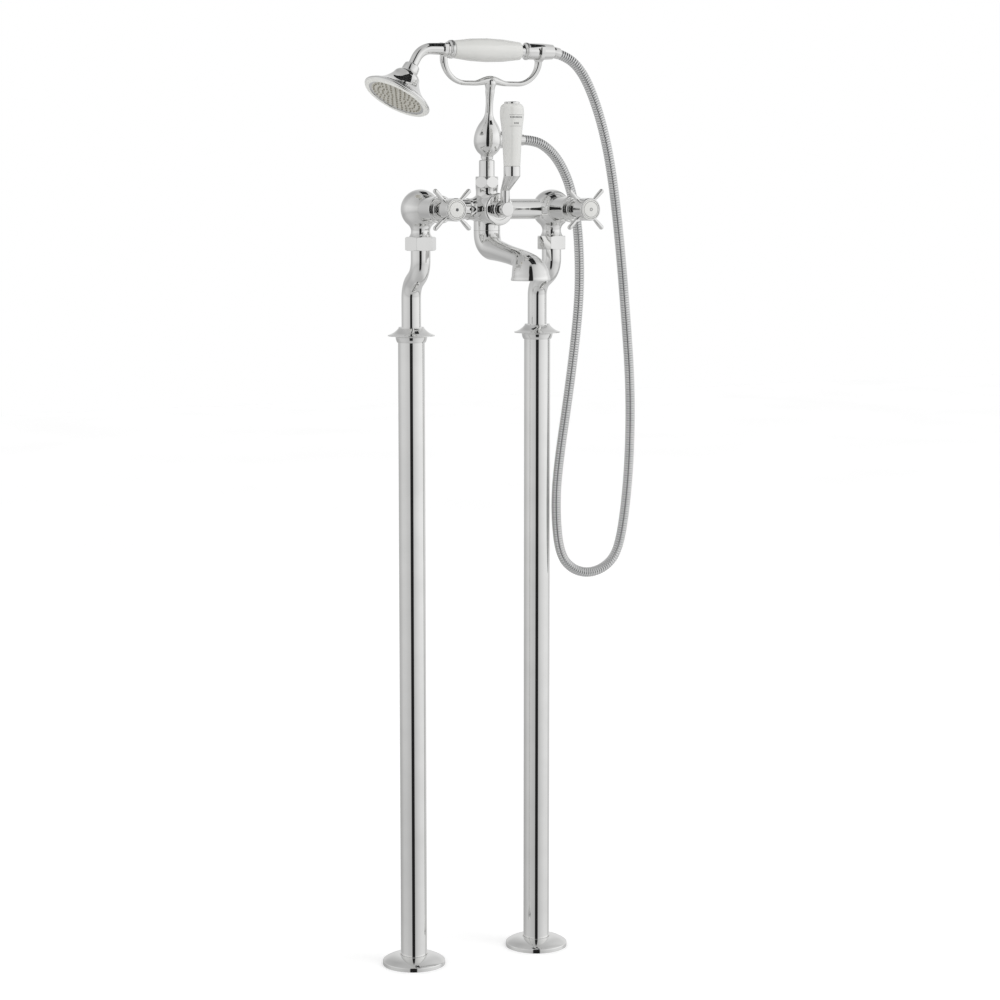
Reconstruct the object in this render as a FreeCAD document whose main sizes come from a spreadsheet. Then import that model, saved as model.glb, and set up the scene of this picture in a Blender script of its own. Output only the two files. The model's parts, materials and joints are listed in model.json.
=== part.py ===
import FreeCAD, Part
import math
import os
import Sketcher

# Floor standing bath filler with a handset in a cradle, in millimetres.
# The origin is on the floor midway between the two legs. +X runs along the bridge to the cold side,
# the spout and the handles point along -Y, and +Z is up.

Vector = FreeCAD.Vector
Rotation = FreeCAD.Rotation
Placement = FreeCAD.Placement

doc = FreeCAD.newDocument("bath_filler")
sheet = doc.addObject("Spreadsheet::Sheet", "Sizes")

sizes = {
    # clearances
    "fit": 0.05,  # radial play of a shaft in its hole
    "play": 0.3,  # gap between faces that pass each other
    # stance
    "inlet_centres": 180.0,  # hot valve axis to cold valve axis
    "leg_centres": 175.0,
    "valve_height": 950.0,
    "setback": 33.0,  # the valves stand this far in front of the legs
    # feet and legs
    "flange_radius": 39.5,
    "flange_rim": 5.3,
    "flange_height": 12.5,
    "flange_lip": 0.9,
    "flange_wall": 1.6,
    "flange_dome": 34.0,  # radius of the dome's curve in section
    "plate_margin": 6.0,  # beyond the screw holes' circle
    "plate_thickness": 5.5,
    "spigot_height": 30.0,
    "screw_spread": 50.0,  # between the two screw holes of a plate
    "screw_hole": 2.75,
    "leg_radius": 16.5,
    "leg_wall": 2.0,
    # riser pipe with its swan neck
    "pipe_radius": 12.0,
    "pipe_wall": 2.0,
    "swan_gap": 25.1,  # union nut's foot down to the upper corner of the bend
    "swan_rise": 19.0,  # between the two corners of the bend
    "swan_lead": 66.0,  # lower corner down to the leg's top
    "swan_bend": 26.0,
    # leg collar
    "lip_radius": 29.2,
    "lip_rise": 5.0,  # above the leg's top
    "lip_thickness": 1.1,
    "cup_skirt": 8.0,
    "cup_wall": 0.85,
    "cup_flare": 2.95,
    "cup_curve": 14.0,
    "collar_top": 15.7,
    "collar_rise": 10.0,
    "collar_curve": 24.0,
    # union nuts
    "union_wall": 2.1,
    "union_height": 16.8,
    "union_chamfer": 1.2,
    "union_lip": 2.7,
    "union_collar": 3.5,
    "union_thread": 14.9,
    "washer_thickness": 2.0,
    "washer_bore": 9.5,
    # valve bodies
    "ball_radius": 24.0,
    "neck_radius": 11.6,
    "neck_curve": 10.0,
    "skirt_drop": 6.84,  # neck's waist down to the nut's top
    "barrel_radius": 16.6,
    "barrel_length": 58.0,
    "barrel_lip": 1.0,
    "recess_wall": 2.0,
    "recess_depth": 6.0,
    "inlet_bore": 7.0,
    "port_bore": 4.0,
    # bridge
    "bridge_radius": 12.4,
    "bridge_wall": 2.0,
    "bridge_seat": 14.0,  # valve axis to the tube's end
    "cross_reach": 27.0,
    "cross_seat": 17.0,  # centre body's axis to the tube's end
    "cross_root": 17.0,
    "cross_wall": 1.0,
    "cross_curve": 16.0,
    # centre body
    "column_radius": 16.3,
    "column_top": 14.0,
    "column_rise": 25.7,
    "column_drop": 26.0,
    "column_bore": 9.0,
    "boss_radius": 19.8,
    "boss_length": 35.0,
    "boss_round": 3.0,
    "sleeve_radius": 13.0,
    "sleeve_wall": 3.0,
    "sleeve_back": 14.0,
    "sleeve_front": 20.0,
    "sleeve_port": 6.5,
    "rotor_front": 14.0,
    # headworks
    "cartridge_radius": 10.4,
    "cartridge_back": 14.0,
    "disc_radius": 7.9,
    "disc_thickness": 3.0,
    "spindle_radius": 4.0,
    "spindle_gap": 5.6,  # short of the index disc
    "bonnet_radius": 12.0,
    "bonnet_length": 3.0,  # in front of the barrel
    "gland_radius": 9.8,
    "gland_height": 3.0,
    # cross handles
    "skirt_radius": 10.2,
    "skirt_length": 15.7,
    "hub_radius": 13.7,
    "hub_length": 20.4,
    "hub_wall": 2.3,  # round the index disc
    "spoke_offset": 7.5,  # in front of the hub's back
    "spoke_radius": 2.2,
    "spoke_tip": 2.9,
    "spoke_reach": 33.6,
    "spoke_seat": 8.0,
    "index_depth": 3.8,
    "screw_head": 4.2,
    # diverter lever
    "diverter_gland": 10.3,
    "gland_reach": 5.0,  # in front of the boss
    "lever_gap": 1.5,
    "lever_hub": 8.8,
    "lever_length": 15.0,
    "lever_neck": 5.6,
    "crank_foot": 22.5,  # above the lever's axis
    "crank_top": 39.6,
    "crank_offset": 18.0,
    "ferrule_radius": 10.1,
    "ferrule_height": 11.8,
    "grip_length": 74.3,
    "grip_foot": 10.0,
    "grip_head": 14.6,
    "grip_shoulder": 6.5,
    "grip_hollow": 260.0,  # radius of the long hollow in section
    "grip_swell": 40.0,
    "cap_radius": 9.3,
    "cap_height": 2.4,
    # spout
    "spout_lead": 2.5,
    "spout_first_bend": 20.0,
    "spout_fall": 8.0,  # degrees below level
    "spout_reach": 113.0,
    "spout_last_bend": 21.5,
    "spout_lip": 3.4,
    "spout_waist": 12.0,
    "spout_mouth": 22.4,
    "spout_bead": 0.8,
    "spout_wall": 2.4,
    # riser
    "riser_nut_wall": 2.25,
    "riser_nut_height": 13.9,
    "riser_chamfer": 4.4,
    "riser_lip": 3.0,
    "riser_wall": 4.4,  # of the threaded spigot
    "riser_thread": 7.0,
    "riser_radius": 9.7,
    "riser_bore": 7.1,
    "riser_length": 34.3,  # centre body's top to the riser's top
    "riser_shoulder": 2.3,
    # cradle
    "lean": 6.0,  # degrees forward
    "neck_play": 0.7,  # round the leaning neck in the riser
    "neck_depth": 6.0,
    "bulb_gap": 1.2,  # riser's top to the bulb's foot
    "bulb_foot": 7.6,
    "foot_curve": 3.0,
    "bulb_lower": 20.0,  # radius of the lower half in section
    "bulb_radius": 17.2,
    "bulb_height": 22.5,
    "bulb_curve": 40.0,
    "bulb_upper": 24.0,
    "stem_radius": 4.7,
    "stem_flare": 6.4,
    "bar_radius": 3.0,
    "bar_hump": 4.0,
    "hump_half": 16.0,
    "arm_bend": 26.0,
    "arm_rise": 1.9,  # straight part between the bend and the higher yoke
    "cradle_height": 132.0,  # riser top to the handset's axis
    "yoke_thickness": 3.2,
    "yoke_width": 4.6,
    "yoke_prong": 5.6,
    "yoke_gap": 1.0,  # between the front collar and the yoke
    "outlet_radius": 10.4,
    "outlet_reach": 22.0,
    "outlet_height": 24.5,
    "outlet_bore": 4.2,
    # hose and its ends
    "hose_radius": 6.1,
    "rib_depth": 0.65,
    "hose_wall": 1.25,
    "hose_seat": 3.0,  # end of the union to the hose's end
    "hose_lead": 20.5,  # straight part as the hose leaves the union
    "union_radius": 9.4,
    "union_length": 18.7,
    "crimp_wall": 0.5,
    "crimp_length": 5.0,
    "tail_seat": 3.5,  # hose's end inside the handset's tail
    "tail_crimp": 9.5,
    # handset
    "neck_pipe": 6.35,
    "neck_wall": 1.3,
    "grip_left": 52.4,
    "grip_right": 37.6,
    "handle_mid": 14.5,
    "handle_end": 10.7,
    "collar_bead": 11.0,
    "collar_length": 8.8,
    "collar_small": 8.8,
    "neck_bend": 24.0,
    "neck_reach": 30.4,  # from the yoke to the corner of the bend
    "neck_drop": 23.9,
    "head_tilt": 31.0,  # degrees off upright
    "head_roll": 12.0,  # degrees that the rose turns to the front, round the grip
    "tail_neck": 7.4,
    "tail_radius": 9.9,
    "tail_bead": 10.5,
    "tail_length": 18.5,  # beyond the yoke
    "tail_lip": 2.0,
    "tail_droop": 12.0,  # degrees that the hose's end hangs
    "rose_nut_length": 10.5,
    "rose_nut_wall": 1.0,
    "rose_nut_foot": 10.4,
    "bell_shoulder": 16.8,
    "bell_radius": 41.9,
    "bell_depth": 36.0,
    "bell_wall": 1.8,
    "bell_flare": 34.0,
    "bell_inside": 36.0,
    "rim_width": 6.3,
    "face_recess": 0.9,
    "plate_wall": 1.8,
    "mat_thickness": 2.4,
    "nub_radius": 1.0,
    "nub_height": 3.2,
    "ring_margin": 5.6,  # outermost ring of nubs to the face's edge
}

for row, (alias, value) in enumerate(sizes.items(), 1):
    sheet.set(f"A{row}", alias)
    sheet.set(f"B{row}", str(value))
    sheet.setAlias(f"B{row}", alias)
doc.recompute()


class Size:
    """A length that carries its number and the sheet formula that gives it."""

    def __init__(self, value, text):
        self.value = value
        self.text = text

    def __add__(self, other):
        other = sized(other)
        return Size(self.value + other.value, f"({self.text} + {other.text})")

    def __sub__(self, other):
        other = sized(other)
        return Size(self.value - other.value, f"({self.text} - {other.text})")

    def __mul__(self, other):
        other = sized(other)
        return Size(self.value * other.value, f"({self.text} * {other.text})")

    def __truediv__(self, other):
        other = sized(other)
        return Size(self.value / other.value, f"({self.text} / {other.text})")

    def __radd__(self, other):
        return sized(other) + self

    def __rsub__(self, other):
        return sized(other) - self

    def __rmul__(self, other):
        return sized(other) * self

    def __neg__(self):
        return sized(0) - self


def sized(number):
    if isinstance(number, Size):
        return number
    return Size(float(number), f"{float(number):.6f}")


def root(size):
    return Size(math.sqrt(size.value), f"sqrt({size.text})")


def sine(size):
    return Size(math.sin(math.radians(size.value)), f"sin({size.text} * 1 deg)")


def cosine(size):
    return Size(math.cos(math.radians(size.value)), f"cos({size.text} * 1 deg)")


def square(size):
    return size * size


def dome(radius, rise):
    """Radius of the sphere that caps a disc of this radius at this rise."""
    return (square(radius) + square(rise)) / (2 * rise)


class Sizes:
    """Every named size of the sheet, as an attribute."""


s = Sizes()
for alias, value in sizes.items():
    setattr(s, alias, Size(value, f"Sizes.{alias}"))


# Drawing. A profile is a list of corners (u, v) or (u, v, r). With r, the side from that corner to
# the next is an arc under a half circle of radius r that turns left, or right where r is given as
# a pair ("right", r). A circle is a tuple ("circle", u, v, r).

def arc_between(start, end, radius, left):
    along = end - start
    half = along.Length / 2
    out = Vector(-along.y, along.x, 0).normalize() * math.sqrt(radius * radius - half * half)
    centre = start + along / 2 + (out if left else -out)
    first = math.atan2(start.y - centre.y, start.x - centre.x)
    last = math.atan2(end.y - centre.y, end.x - centre.x)
    if not left:
        first, last = last, first
    if last < first:
        last += 2 * math.pi
    return Part.ArcOfCircle(Part.Circle(centre, Vector(0, 0, 1), radius), first, last)


def draw_circle(sketch, u, v, r):
    index = sketch.addGeometry(Part.Circle(Vector(u.value, v.value, 0), Vector(0, 0, 1), r.value), False)
    rules = (("DistanceX", u), ("DistanceY", v))
    for kind, size in rules:
        number = sketch.addConstraint(Sketcher.Constraint(kind, -1, 1, index, 3, size.value))
        sketch.setExpression(f"Constraints[{number}]", size.text)
    number = sketch.addConstraint(Sketcher.Constraint("Radius", index, r.value))
    sketch.setExpression(f"Constraints[{number}]", r.text)


def draw_outline(sketch, corners, closed=True):
    points = [Vector(sized(c[0]).value, sized(c[1]).value, 0) for c in corners]
    count = len(corners) if closed else len(corners) - 1
    base = sketch.GeometryCount
    shapes = []
    starts = []
    for i in range(count):
        p = points[i]
        q = points[(i + 1) % len(points)]
        bend = corners[i][2] if len(corners[i]) > 2 else None
        left = not isinstance(bend, tuple)
        if bend is None:
            shapes.append(Part.LineSegment(p, q))
        else:
            shapes.append(arc_between(p, q, sized(bend if left else bend[1]).value, left))
        starts.append(1 if left else 2)
    sketch.addGeometry(shapes, False)
    rules = []
    formulas = []
    for i in range(count):
        if closed or i + 1 < count:
            after = (i + 1) % count
            ends = (base + i, 3 - starts[i], base + after, starts[after])
            rules.append(Sketcher.Constraint("Coincident", *ends))
            formulas.append(None)
    held = [(base + i, starts[i], corners[i]) for i in range(count)]
    if not closed:
        held.append((base + count - 1, 3 - starts[count - 1], corners[count]))
    for index, end, corner in held:
        for kind, size in (("DistanceX", sized(corner[0])), ("DistanceY", sized(corner[1]))):
            rules.append(Sketcher.Constraint(kind, -1, 1, index, end, size.value))
            formulas.append(size.text)
    for i in range(count):
        if len(corners[i]) > 2:
            bend = corners[i][2]
            size = sized(bend[1] if isinstance(bend, tuple) else bend)
            rules.append(Sketcher.Constraint("Radius", base + i, size.value))
            formulas.append(size.text)
    first = sketch.ConstraintCount
    sketch.addConstraint(rules)
    for i, text in enumerate(formulas):
        if text is not None:
            sketch.setExpression(f"Constraints[{first + i}]", text)


def draw(body, role, shapes, offset=None, closed=True):
    plane = [item for item in body.Origin.OriginFeatures if item.Role == role][0]
    sketch = body.newObject("Sketcher::SketchObject", f"{body.Name}_sketch")
    sketch.AttachmentSupport = [(plane, "")]
    sketch.MapMode = "FlatFace"
    if offset is not None:
        offset = sized(offset)
        sketch.AttachmentOffset = Placement(Vector(0, 0, offset.value), Rotation())
        sketch.setExpression("AttachmentOffset.Base.z", offset.text)
    for shape in shapes:
        if shape[0] == "circle":
            draw_circle(sketch, *[sized(x) for x in shape[1:]])
        else:
            draw_outline(sketch, shape, closed)
    return sketch


# Features. A pad or a pocket runs along the sketch's own normal unless it is told to go back:
# +Z on XY_Plane, -Y on XZ_Plane and +X on YZ_Plane.

def new_body(name):
    body = doc.addObject("PartDesign::Body", name)
    body.Label = name
    return body


def turn(body, shapes, role="XZ_Plane", axis="V_Axis", offset=None, cut=False):
    sketch = draw(body, role, shapes, offset)
    kind = "PartDesign::Groove" if cut else "PartDesign::Revolution"
    feature = body.newObject(kind, f"{body.Name}_turn")
    feature.Profile = sketch
    feature.ReferenceAxis = (sketch, [axis])
    feature.Angle = 360
    return feature


def extrude(body, shapes, length, role="XY_Plane", offset=None, cut=False, back=False, both=False):
    sketch = draw(body, role, shapes, offset)
    kind = "PartDesign::Pocket" if cut else "PartDesign::Pad"
    feature = body.newObject(kind, f"{body.Name}_extrude")
    feature.Profile = sketch
    length = sized(length)
    feature.Length = length.value
    feature.setExpression("Length", length.text)
    feature.Reversed = (cut != back)
    if both:
        feature.SideType = "Symmetric"
    return feature


def repeat_round(body, feature, count, axis="Z_Axis"):
    pattern = body.newObject("PartDesign::PolarPattern", f"{body.Name}_round")
    pattern.Originals = [feature]
    line = [item for item in body.Origin.OriginFeatures if item.Role == axis][0]
    pattern.Axis = (line, [""])
    pattern.Angle = 360
    pattern.Occurrences = count
    body.Tip = pattern
    return pattern


axes = {"x": Vector(1, 0, 0), "y": Vector(0, 1, 0), "z": Vector(0, 0, 1)}


def follow(steps):
    """The frame that steps (x, y, z, axis, degrees) lead to, each in the frame of the one before."""
    total = Placement()
    texts = []
    for x, y, z, axis, angle in steps:
        x, y, z, angle = sized(x), sized(y), sized(z), sized(angle)
        line = axes[axis]
        total = total * Placement(Vector(x.value, y.value, z.value), Rotation(line, angle.value))
        spot = f"vector({x.text}; {y.text}; {z.text})"
        spin = f"rotation(vector({line.x:.0f}; {line.y:.0f}; {line.z:.0f}); {angle.text} * 1 deg)"
        texts.append(f"placement({spot}; {spin})")
    return total, " * ".join(texts)


def place(item, *steps):
    item.Placement, text = follow(steps)
    item.setExpression("Placement", text)


def point(*steps):
    return follow(steps)[0].Base


def ring(inner, outer, low, high):
    return [(inner, low), (outer, low), (outer, high), (inner, high)]


# Sides: the hot valve is at -X and the cold one at +X.
sides = (("left", "hot", -1), ("right", "cold", 1))
leg_x = s.leg_centres / 2
valve_x = s.inlet_centres / 2
front = ("x", 90)  # turns a piece's own +Z to face forward, along -Y

# Heights, from the valves down to the legs' tops and up to the cradle.
waist_middle = s.neck_radius + s.neck_curve
waist_drop = root(square(s.ball_radius + s.neck_curve) - square(waist_middle))
union_drop = waist_drop + s.skirt_drop
nut_foot = s.valve_height - union_drop - s.union_height
pipe_collar_low = nut_foot + s.union_lip
pipe_collar_high = pipe_collar_low + s.union_collar
tail_foot = pipe_collar_high + s.washer_thickness  # lower end of a valve's threaded tail
swan_high = nut_foot - s.swan_gap
swan_low = swan_high - s.swan_rise
leg_top = swan_low - s.swan_lead
lip_height = leg_top + s.lip_rise
riser_foot = s.valve_height + s.column_rise
riser_top = riser_foot + s.riser_length

# Radii that follow the piece inside or outside them.
leg_inner = s.leg_radius - s.leg_wall
flange_bore = s.leg_radius + s.play
plate_radius = s.screw_spread / 2 + s.plate_margin
collar_bore = s.leg_radius + s.fit
union_flats = 2 * (s.union_thread + s.union_wall)
recess_radius = s.barrel_radius - s.recess_wall
cross_end = s.bridge_radius + s.cross_wall
index_radius = s.hub_radius - s.hub_wall
spigot_radius = s.riser_bore + s.riser_wall
riser_flats = 2 * (spigot_radius + s.fit + s.riser_nut_wall)
cradle_neck = s.riser_bore - s.neck_play
hose_valley = s.hose_radius - s.rib_depth
hose_bore = hose_valley - s.hose_wall
crimp_bore = s.hose_radius + s.play
crimp_outer = crimp_bore + s.crimp_wall
face_radius = s.bell_radius - s.rim_width

# Along a valve's forward axis, and along the diverter's.
bonnet_front = s.barrel_length + s.bonnet_length
gland_front = bonnet_front + s.gland_height
hub_back = gland_front + s.play + s.skirt_length
hub_front = hub_back + s.hub_length
spoke_plane = hub_back + s.spoke_offset
index_back = hub_front - s.index_depth
spindle_end = index_back - s.spindle_gap
diverter_front = s.boss_length + s.gland_reach
lever_back = diverter_front + s.lever_gap
lever_front = lever_back + s.lever_length

# Along the handset's axis, from the cradle's middle.
arm_reach = s.grip_left + s.collar_length + s.yoke_gap + s.yoke_width / 2
neck_corner = arm_reach + s.neck_reach
tail_end = arm_reach + s.tail_length
union_start = s.outlet_reach + s.play
union_end = union_start + s.union_length
hose_start = union_end + s.hose_seat


def hexagon(flats):
    side = flats / math.sqrt(3)
    return [(side * math.cos(math.radians(60 * k)), side * math.sin(math.radians(60 * k))) for k in range(6)]


def hex_nut(name, flats, height, bores, chamfer):
    """A hexagon nut with its bore steps (radius, from, to) and turned chamfers at both ends."""
    body = new_body(name)
    extrude(body, [hexagon(flats)], height)
    for radius, low, high in bores:
        extrude(body, [("circle", 0, 0, radius)], high - low, offset=low, cut=True)
    inside = flats / 2
    outside = flats / math.sqrt(3) + 1
    slope = chamfer * (outside - inside) / (outside - 1 - inside)
    turn(body, [[(inside, height), (outside, height - slope), (outside, height)]], cut=True)
    turn(body, [[(inside, 0), (outside, 0), (outside, slope)]], cut=True)
    return body


def build_leg(side, sign):
    x = leg_x * sign
    flange = new_body(f"{side}_floor_flange")
    bore = flange_bore
    inner_rim = s.flange_radius - s.flange_wall
    turn(flange, [[
        (inner_rim, 0), (s.flange_radius, 0), (s.flange_radius, s.flange_rim, s.flange_dome),
        (bore + s.flange_lip, s.flange_height), (bore, s.flange_height),
        (bore, s.flange_height - s.flange_wall, ("right", s.flange_dome)),
        (inner_rim, s.flange_rim - s.flange_wall),
    ]])
    place(flange, (x, 0, 0, "z", 0))

    plate = new_body(f"{side}_base_plate")
    plate_bore = s.pipe_radius + s.fit
    spigot = leg_inner - s.fit
    turn(plate, [[
        (plate_bore, 0), (plate_radius, 0), (plate_radius, s.plate_thickness),
        (spigot, s.plate_thickness), (spigot, s.spigot_height), (plate_bore, s.spigot_height),
    ]])
    for way in (-1, 1):
        hole = ("circle", 0, s.screw_spread / 2 * way, s.screw_hole)
        extrude(plate, [hole], s.plate_thickness, cut=True)
    place(plate, (x, 0, 0, "z", 0))

    tube = new_body(f"{side}_leg_tube")
    walls = [("circle", 0, 0, s.leg_radius), ("circle", 0, 0, leg_inner)]
    extrude(tube, walls, leg_top - s.plate_thickness, offset=s.plate_thickness)
    place(tube, (x, 0, 0, "z", 0))

    build_riser_pipe(side, sign)

    collar = new_body(f"{side}_leg_collar")
    cup_foot = lip_height - s.cup_skirt
    cup = collar_bore + s.cup_flare
    lip_top = lip_height + s.lip_thickness
    lip_edge = s.lip_radius - 0.4
    top = lip_top + s.collar_rise
    pipe_hole = s.pipe_radius + s.fit
    turn(collar, [[
        (collar_bore, cup_foot), (collar_bore + s.cup_wall, cup_foot, s.cup_curve),
        (cup, lip_height - s.lip_thickness), (lip_edge, lip_height),
        (s.lip_radius, lip_height + s.lip_thickness / 2), (lip_edge, lip_top, ("right", s.collar_curve)),
        (s.collar_top, top - 1), (s.collar_top, top), (pipe_hole, top), (pipe_hole, leg_top),
        (collar_bore, leg_top),
    ]])
    place(collar, (x, 0, 0, "z", 0))


def build_riser_pipe(side, sign):
    """One pipe from the floor up the leg, through the swan neck to the collar in the union nut."""
    pipe = new_body(f"{side}_riser_pipe")
    sideways = valve_x - leg_x
    reach = root(square(s.setback) + square(sideways))
    run = root(square(reach) + square(s.swan_rise))
    tangent = s.swan_bend * (run - s.swan_rise) / reach
    along = reach / run * tangent
    up = s.swan_rise / run * tangent
    bore = s.pipe_radius - s.pipe_wall
    walls = [("circle", 0, 0, s.pipe_radius), ("circle", 0, 0, bore)]
    profile = draw(pipe, "XY_Plane", walls)
    spine = draw(pipe, "YZ_Plane", [[
        (0, 0), (0, swan_low - tangent, s.swan_bend), (-along, swan_low + up),
        (along - reach, swan_high - up, ("right", s.swan_bend)), (-reach, swan_high + tangent),
        (-reach, pipe_collar_high),
    ]], closed=False)
    sweep = pipe.newObject("PartDesign::AdditivePipe", f"{side}_riser_sweep")
    sweep.Profile = profile
    sweep.Spine = spine
    collar = [("circle", 0, -reach, s.union_thread - s.fit), ("circle", 0, -reach, bore)]
    extrude(pipe, collar, s.union_collar, offset=pipe_collar_low)
    # The pipe leans a few degrees outwards because the valves stand wider than the legs.
    skew = Size(math.degrees(math.atan2(sideways.value, s.setback.value)) * sign,
                f"atan({sideways.text} / {s.setback.text}) / 1 deg * {sign}")
    place(pipe, (leg_x * sign, 0, 0, "z", skew))


def build_union(side, sign, corner_angle):
    bores = [
        (s.pipe_radius + s.play, 0, s.union_lip),
        (s.union_thread, s.union_lip, s.union_height),
    ]
    nut = hex_nut(f"{side}_union_nut", union_flats, s.union_height, bores, s.union_chamfer)
    place(nut, (valve_x * sign, -s.setback, nut_foot, "z", corner_angle))


def build_valve_body(name, sign):
    """Ball, neck and forward barrel in one casting, bored from the tail to the bridge."""
    body = new_body(f"{name}_valve_body")
    touch = s.ball_radius / (s.ball_radius + s.neck_curve)
    foot = s.valve_height - tail_foot
    skirt = waist_middle - root(square(s.neck_curve) - square(s.skirt_drop))
    turn(body, [[
        (0, -foot), (s.union_thread - s.fit, -foot), (s.union_thread - s.fit, -union_drop),
        (skirt, -union_drop, ("right", s.neck_curve)),
        (s.neck_radius, -waist_drop, ("right", s.neck_curve)),
        (touch * waist_middle, -touch * waist_drop, s.ball_radius),
        (s.ball_radius, 0, s.ball_radius), (0, s.ball_radius),
    ]])
    length = s.barrel_length
    # The barrel's profile is drawn on the level plane, where forward is -v.
    turn(body, [[
        (0, 0), (0, -length), (s.barrel_radius - 0.6, -length), (s.barrel_radius, 0.6 - length),
        (s.barrel_radius, 4 - length), (s.barrel_radius - s.barrel_lip, 5.5 - length),
        (s.barrel_radius - s.barrel_lip, 0),
    ]], role="XY_Plane")
    chamber = s.cartridge_radius + s.fit
    recess = s.recess_depth - length
    turn(body, [[
        (0, -s.cartridge_back), (chamber, -s.cartridge_back), (chamber, -s.cartridge_back - 3),
        (chamber + 2.6, -s.cartridge_back - 5), (chamber + 2.6, -s.cartridge_back - 13),
        (chamber, -s.cartridge_back - 15), (chamber, recess), (recess_radius, recess),
        (recess_radius, -length - 1), (0, -length - 1),
    ]], role="XY_Plane", cut=True)
    # Water way: up the tail, forward to the cartridge, then back past it to the bridge tube.
    rise = foot - s.inlet_bore / 2
    extrude(body, [("circle", 0, 0, s.inlet_bore)], rise, offset=-foot, cut=True)
    port_z = -s.inlet_bore
    port = ("circle", 0, port_z, s.port_bore - 0.6)
    extrude(body, [port], s.cartridge_back + 1, role="XZ_Plane", cut=True)
    seat = s.bridge_seat
    socket = s.bridge_radius + s.fit
    inward = -sign
    turn(body, [[
        (10 * inward, 0), (10 * inward, 8.5), (seat * inward, 8.5), (seat * inward, socket),
        ((s.ball_radius + 1) * inward, socket), ((s.ball_radius + 1) * inward, 0),
    ]], axis="H_Axis", cut=True)
    passage = ("circle", 12 * inward, 3, s.port_bore - 1.2)
    extrude(body, [passage], s.cartridge_back + 8, role="XZ_Plane", cut=True)
    place(body, (valve_x * sign, -s.setback, s.valve_height, "z", 0))


def build_bridge_tube(name, sign):
    body = new_body(f"{name}_bridge_tube")
    length = valve_x - s.bridge_seat - s.cross_seat
    walls = [("circle", 0, 0, s.bridge_radius), ("circle", 0, 0, s.bridge_radius - s.bridge_wall)]
    extrude(body, walls, length)
    start = s.cross_seat if sign > 0 else s.cross_seat + length
    place(body, (start * sign, -s.setback, s.valve_height, "y", 90))


def build_centre_body():
    """Cross-shaped casting: column, two arms for the bridge tubes and the diverter's boss."""
    body = new_body("centre_body")
    neck = spigot_radius
    high = s.column_rise
    low = -s.column_drop
    turn(body, [[
        (0, low), (s.column_radius, low), (s.column_radius, 4), (s.column_top, 14), (s.column_top, high),
        (neck, high), (neck, high + s.riser_thread), (0, high + s.riser_thread),
    ]])
    reach = s.cross_reach
    bend = ("right", s.cross_curve)
    turn(body, [[
        (-reach, 0), (reach, 0), (reach, cross_end, bend), (cross_end, s.cross_root),
        (-cross_end, s.cross_root, bend), (-reach, cross_end),
    ]], axis="H_Axis")
    boss = s.boss_length
    edge = s.boss_radius - s.boss_round
    turn(body, [[
        (0, 0), (0, -boss), (edge, -boss, s.boss_round), (s.boss_radius, s.boss_round - boss),
        (s.boss_radius, -s.boss_radius / 2), (s.column_radius - 2, 0),
    ]], role="XY_Plane")
    socket = s.bridge_radius + s.fit
    for way in (-1, 1):
        turn(body, [[
            (0, 0), (0, 8), (s.cross_seat * way, 8), (s.cross_seat * way, socket),
            ((reach + 1) * way, socket), ((reach + 1) * way, 0),
        ]], axis="H_Axis", cut=True)
    sleeve = s.sleeve_radius + s.fit
    turn(body, [[
        (0, s.sleeve_back), (0, -boss - 1), (sleeve, -boss - 1), (sleeve, s.sleeve_back),
    ]], role="XY_Plane", cut=True)
    tall = high + s.riser_thread - low
    extrude(body, [("circle", 0, 0, s.column_bore)], tall, offset=low, cut=True)
    spigot = s.column_bore + 3 + s.fit
    extrude(body, [("circle", 0, 0, spigot)], 8, offset=low, cut=True)
    place(body, (0, -s.setback, s.valve_height, "z", 0))


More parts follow.
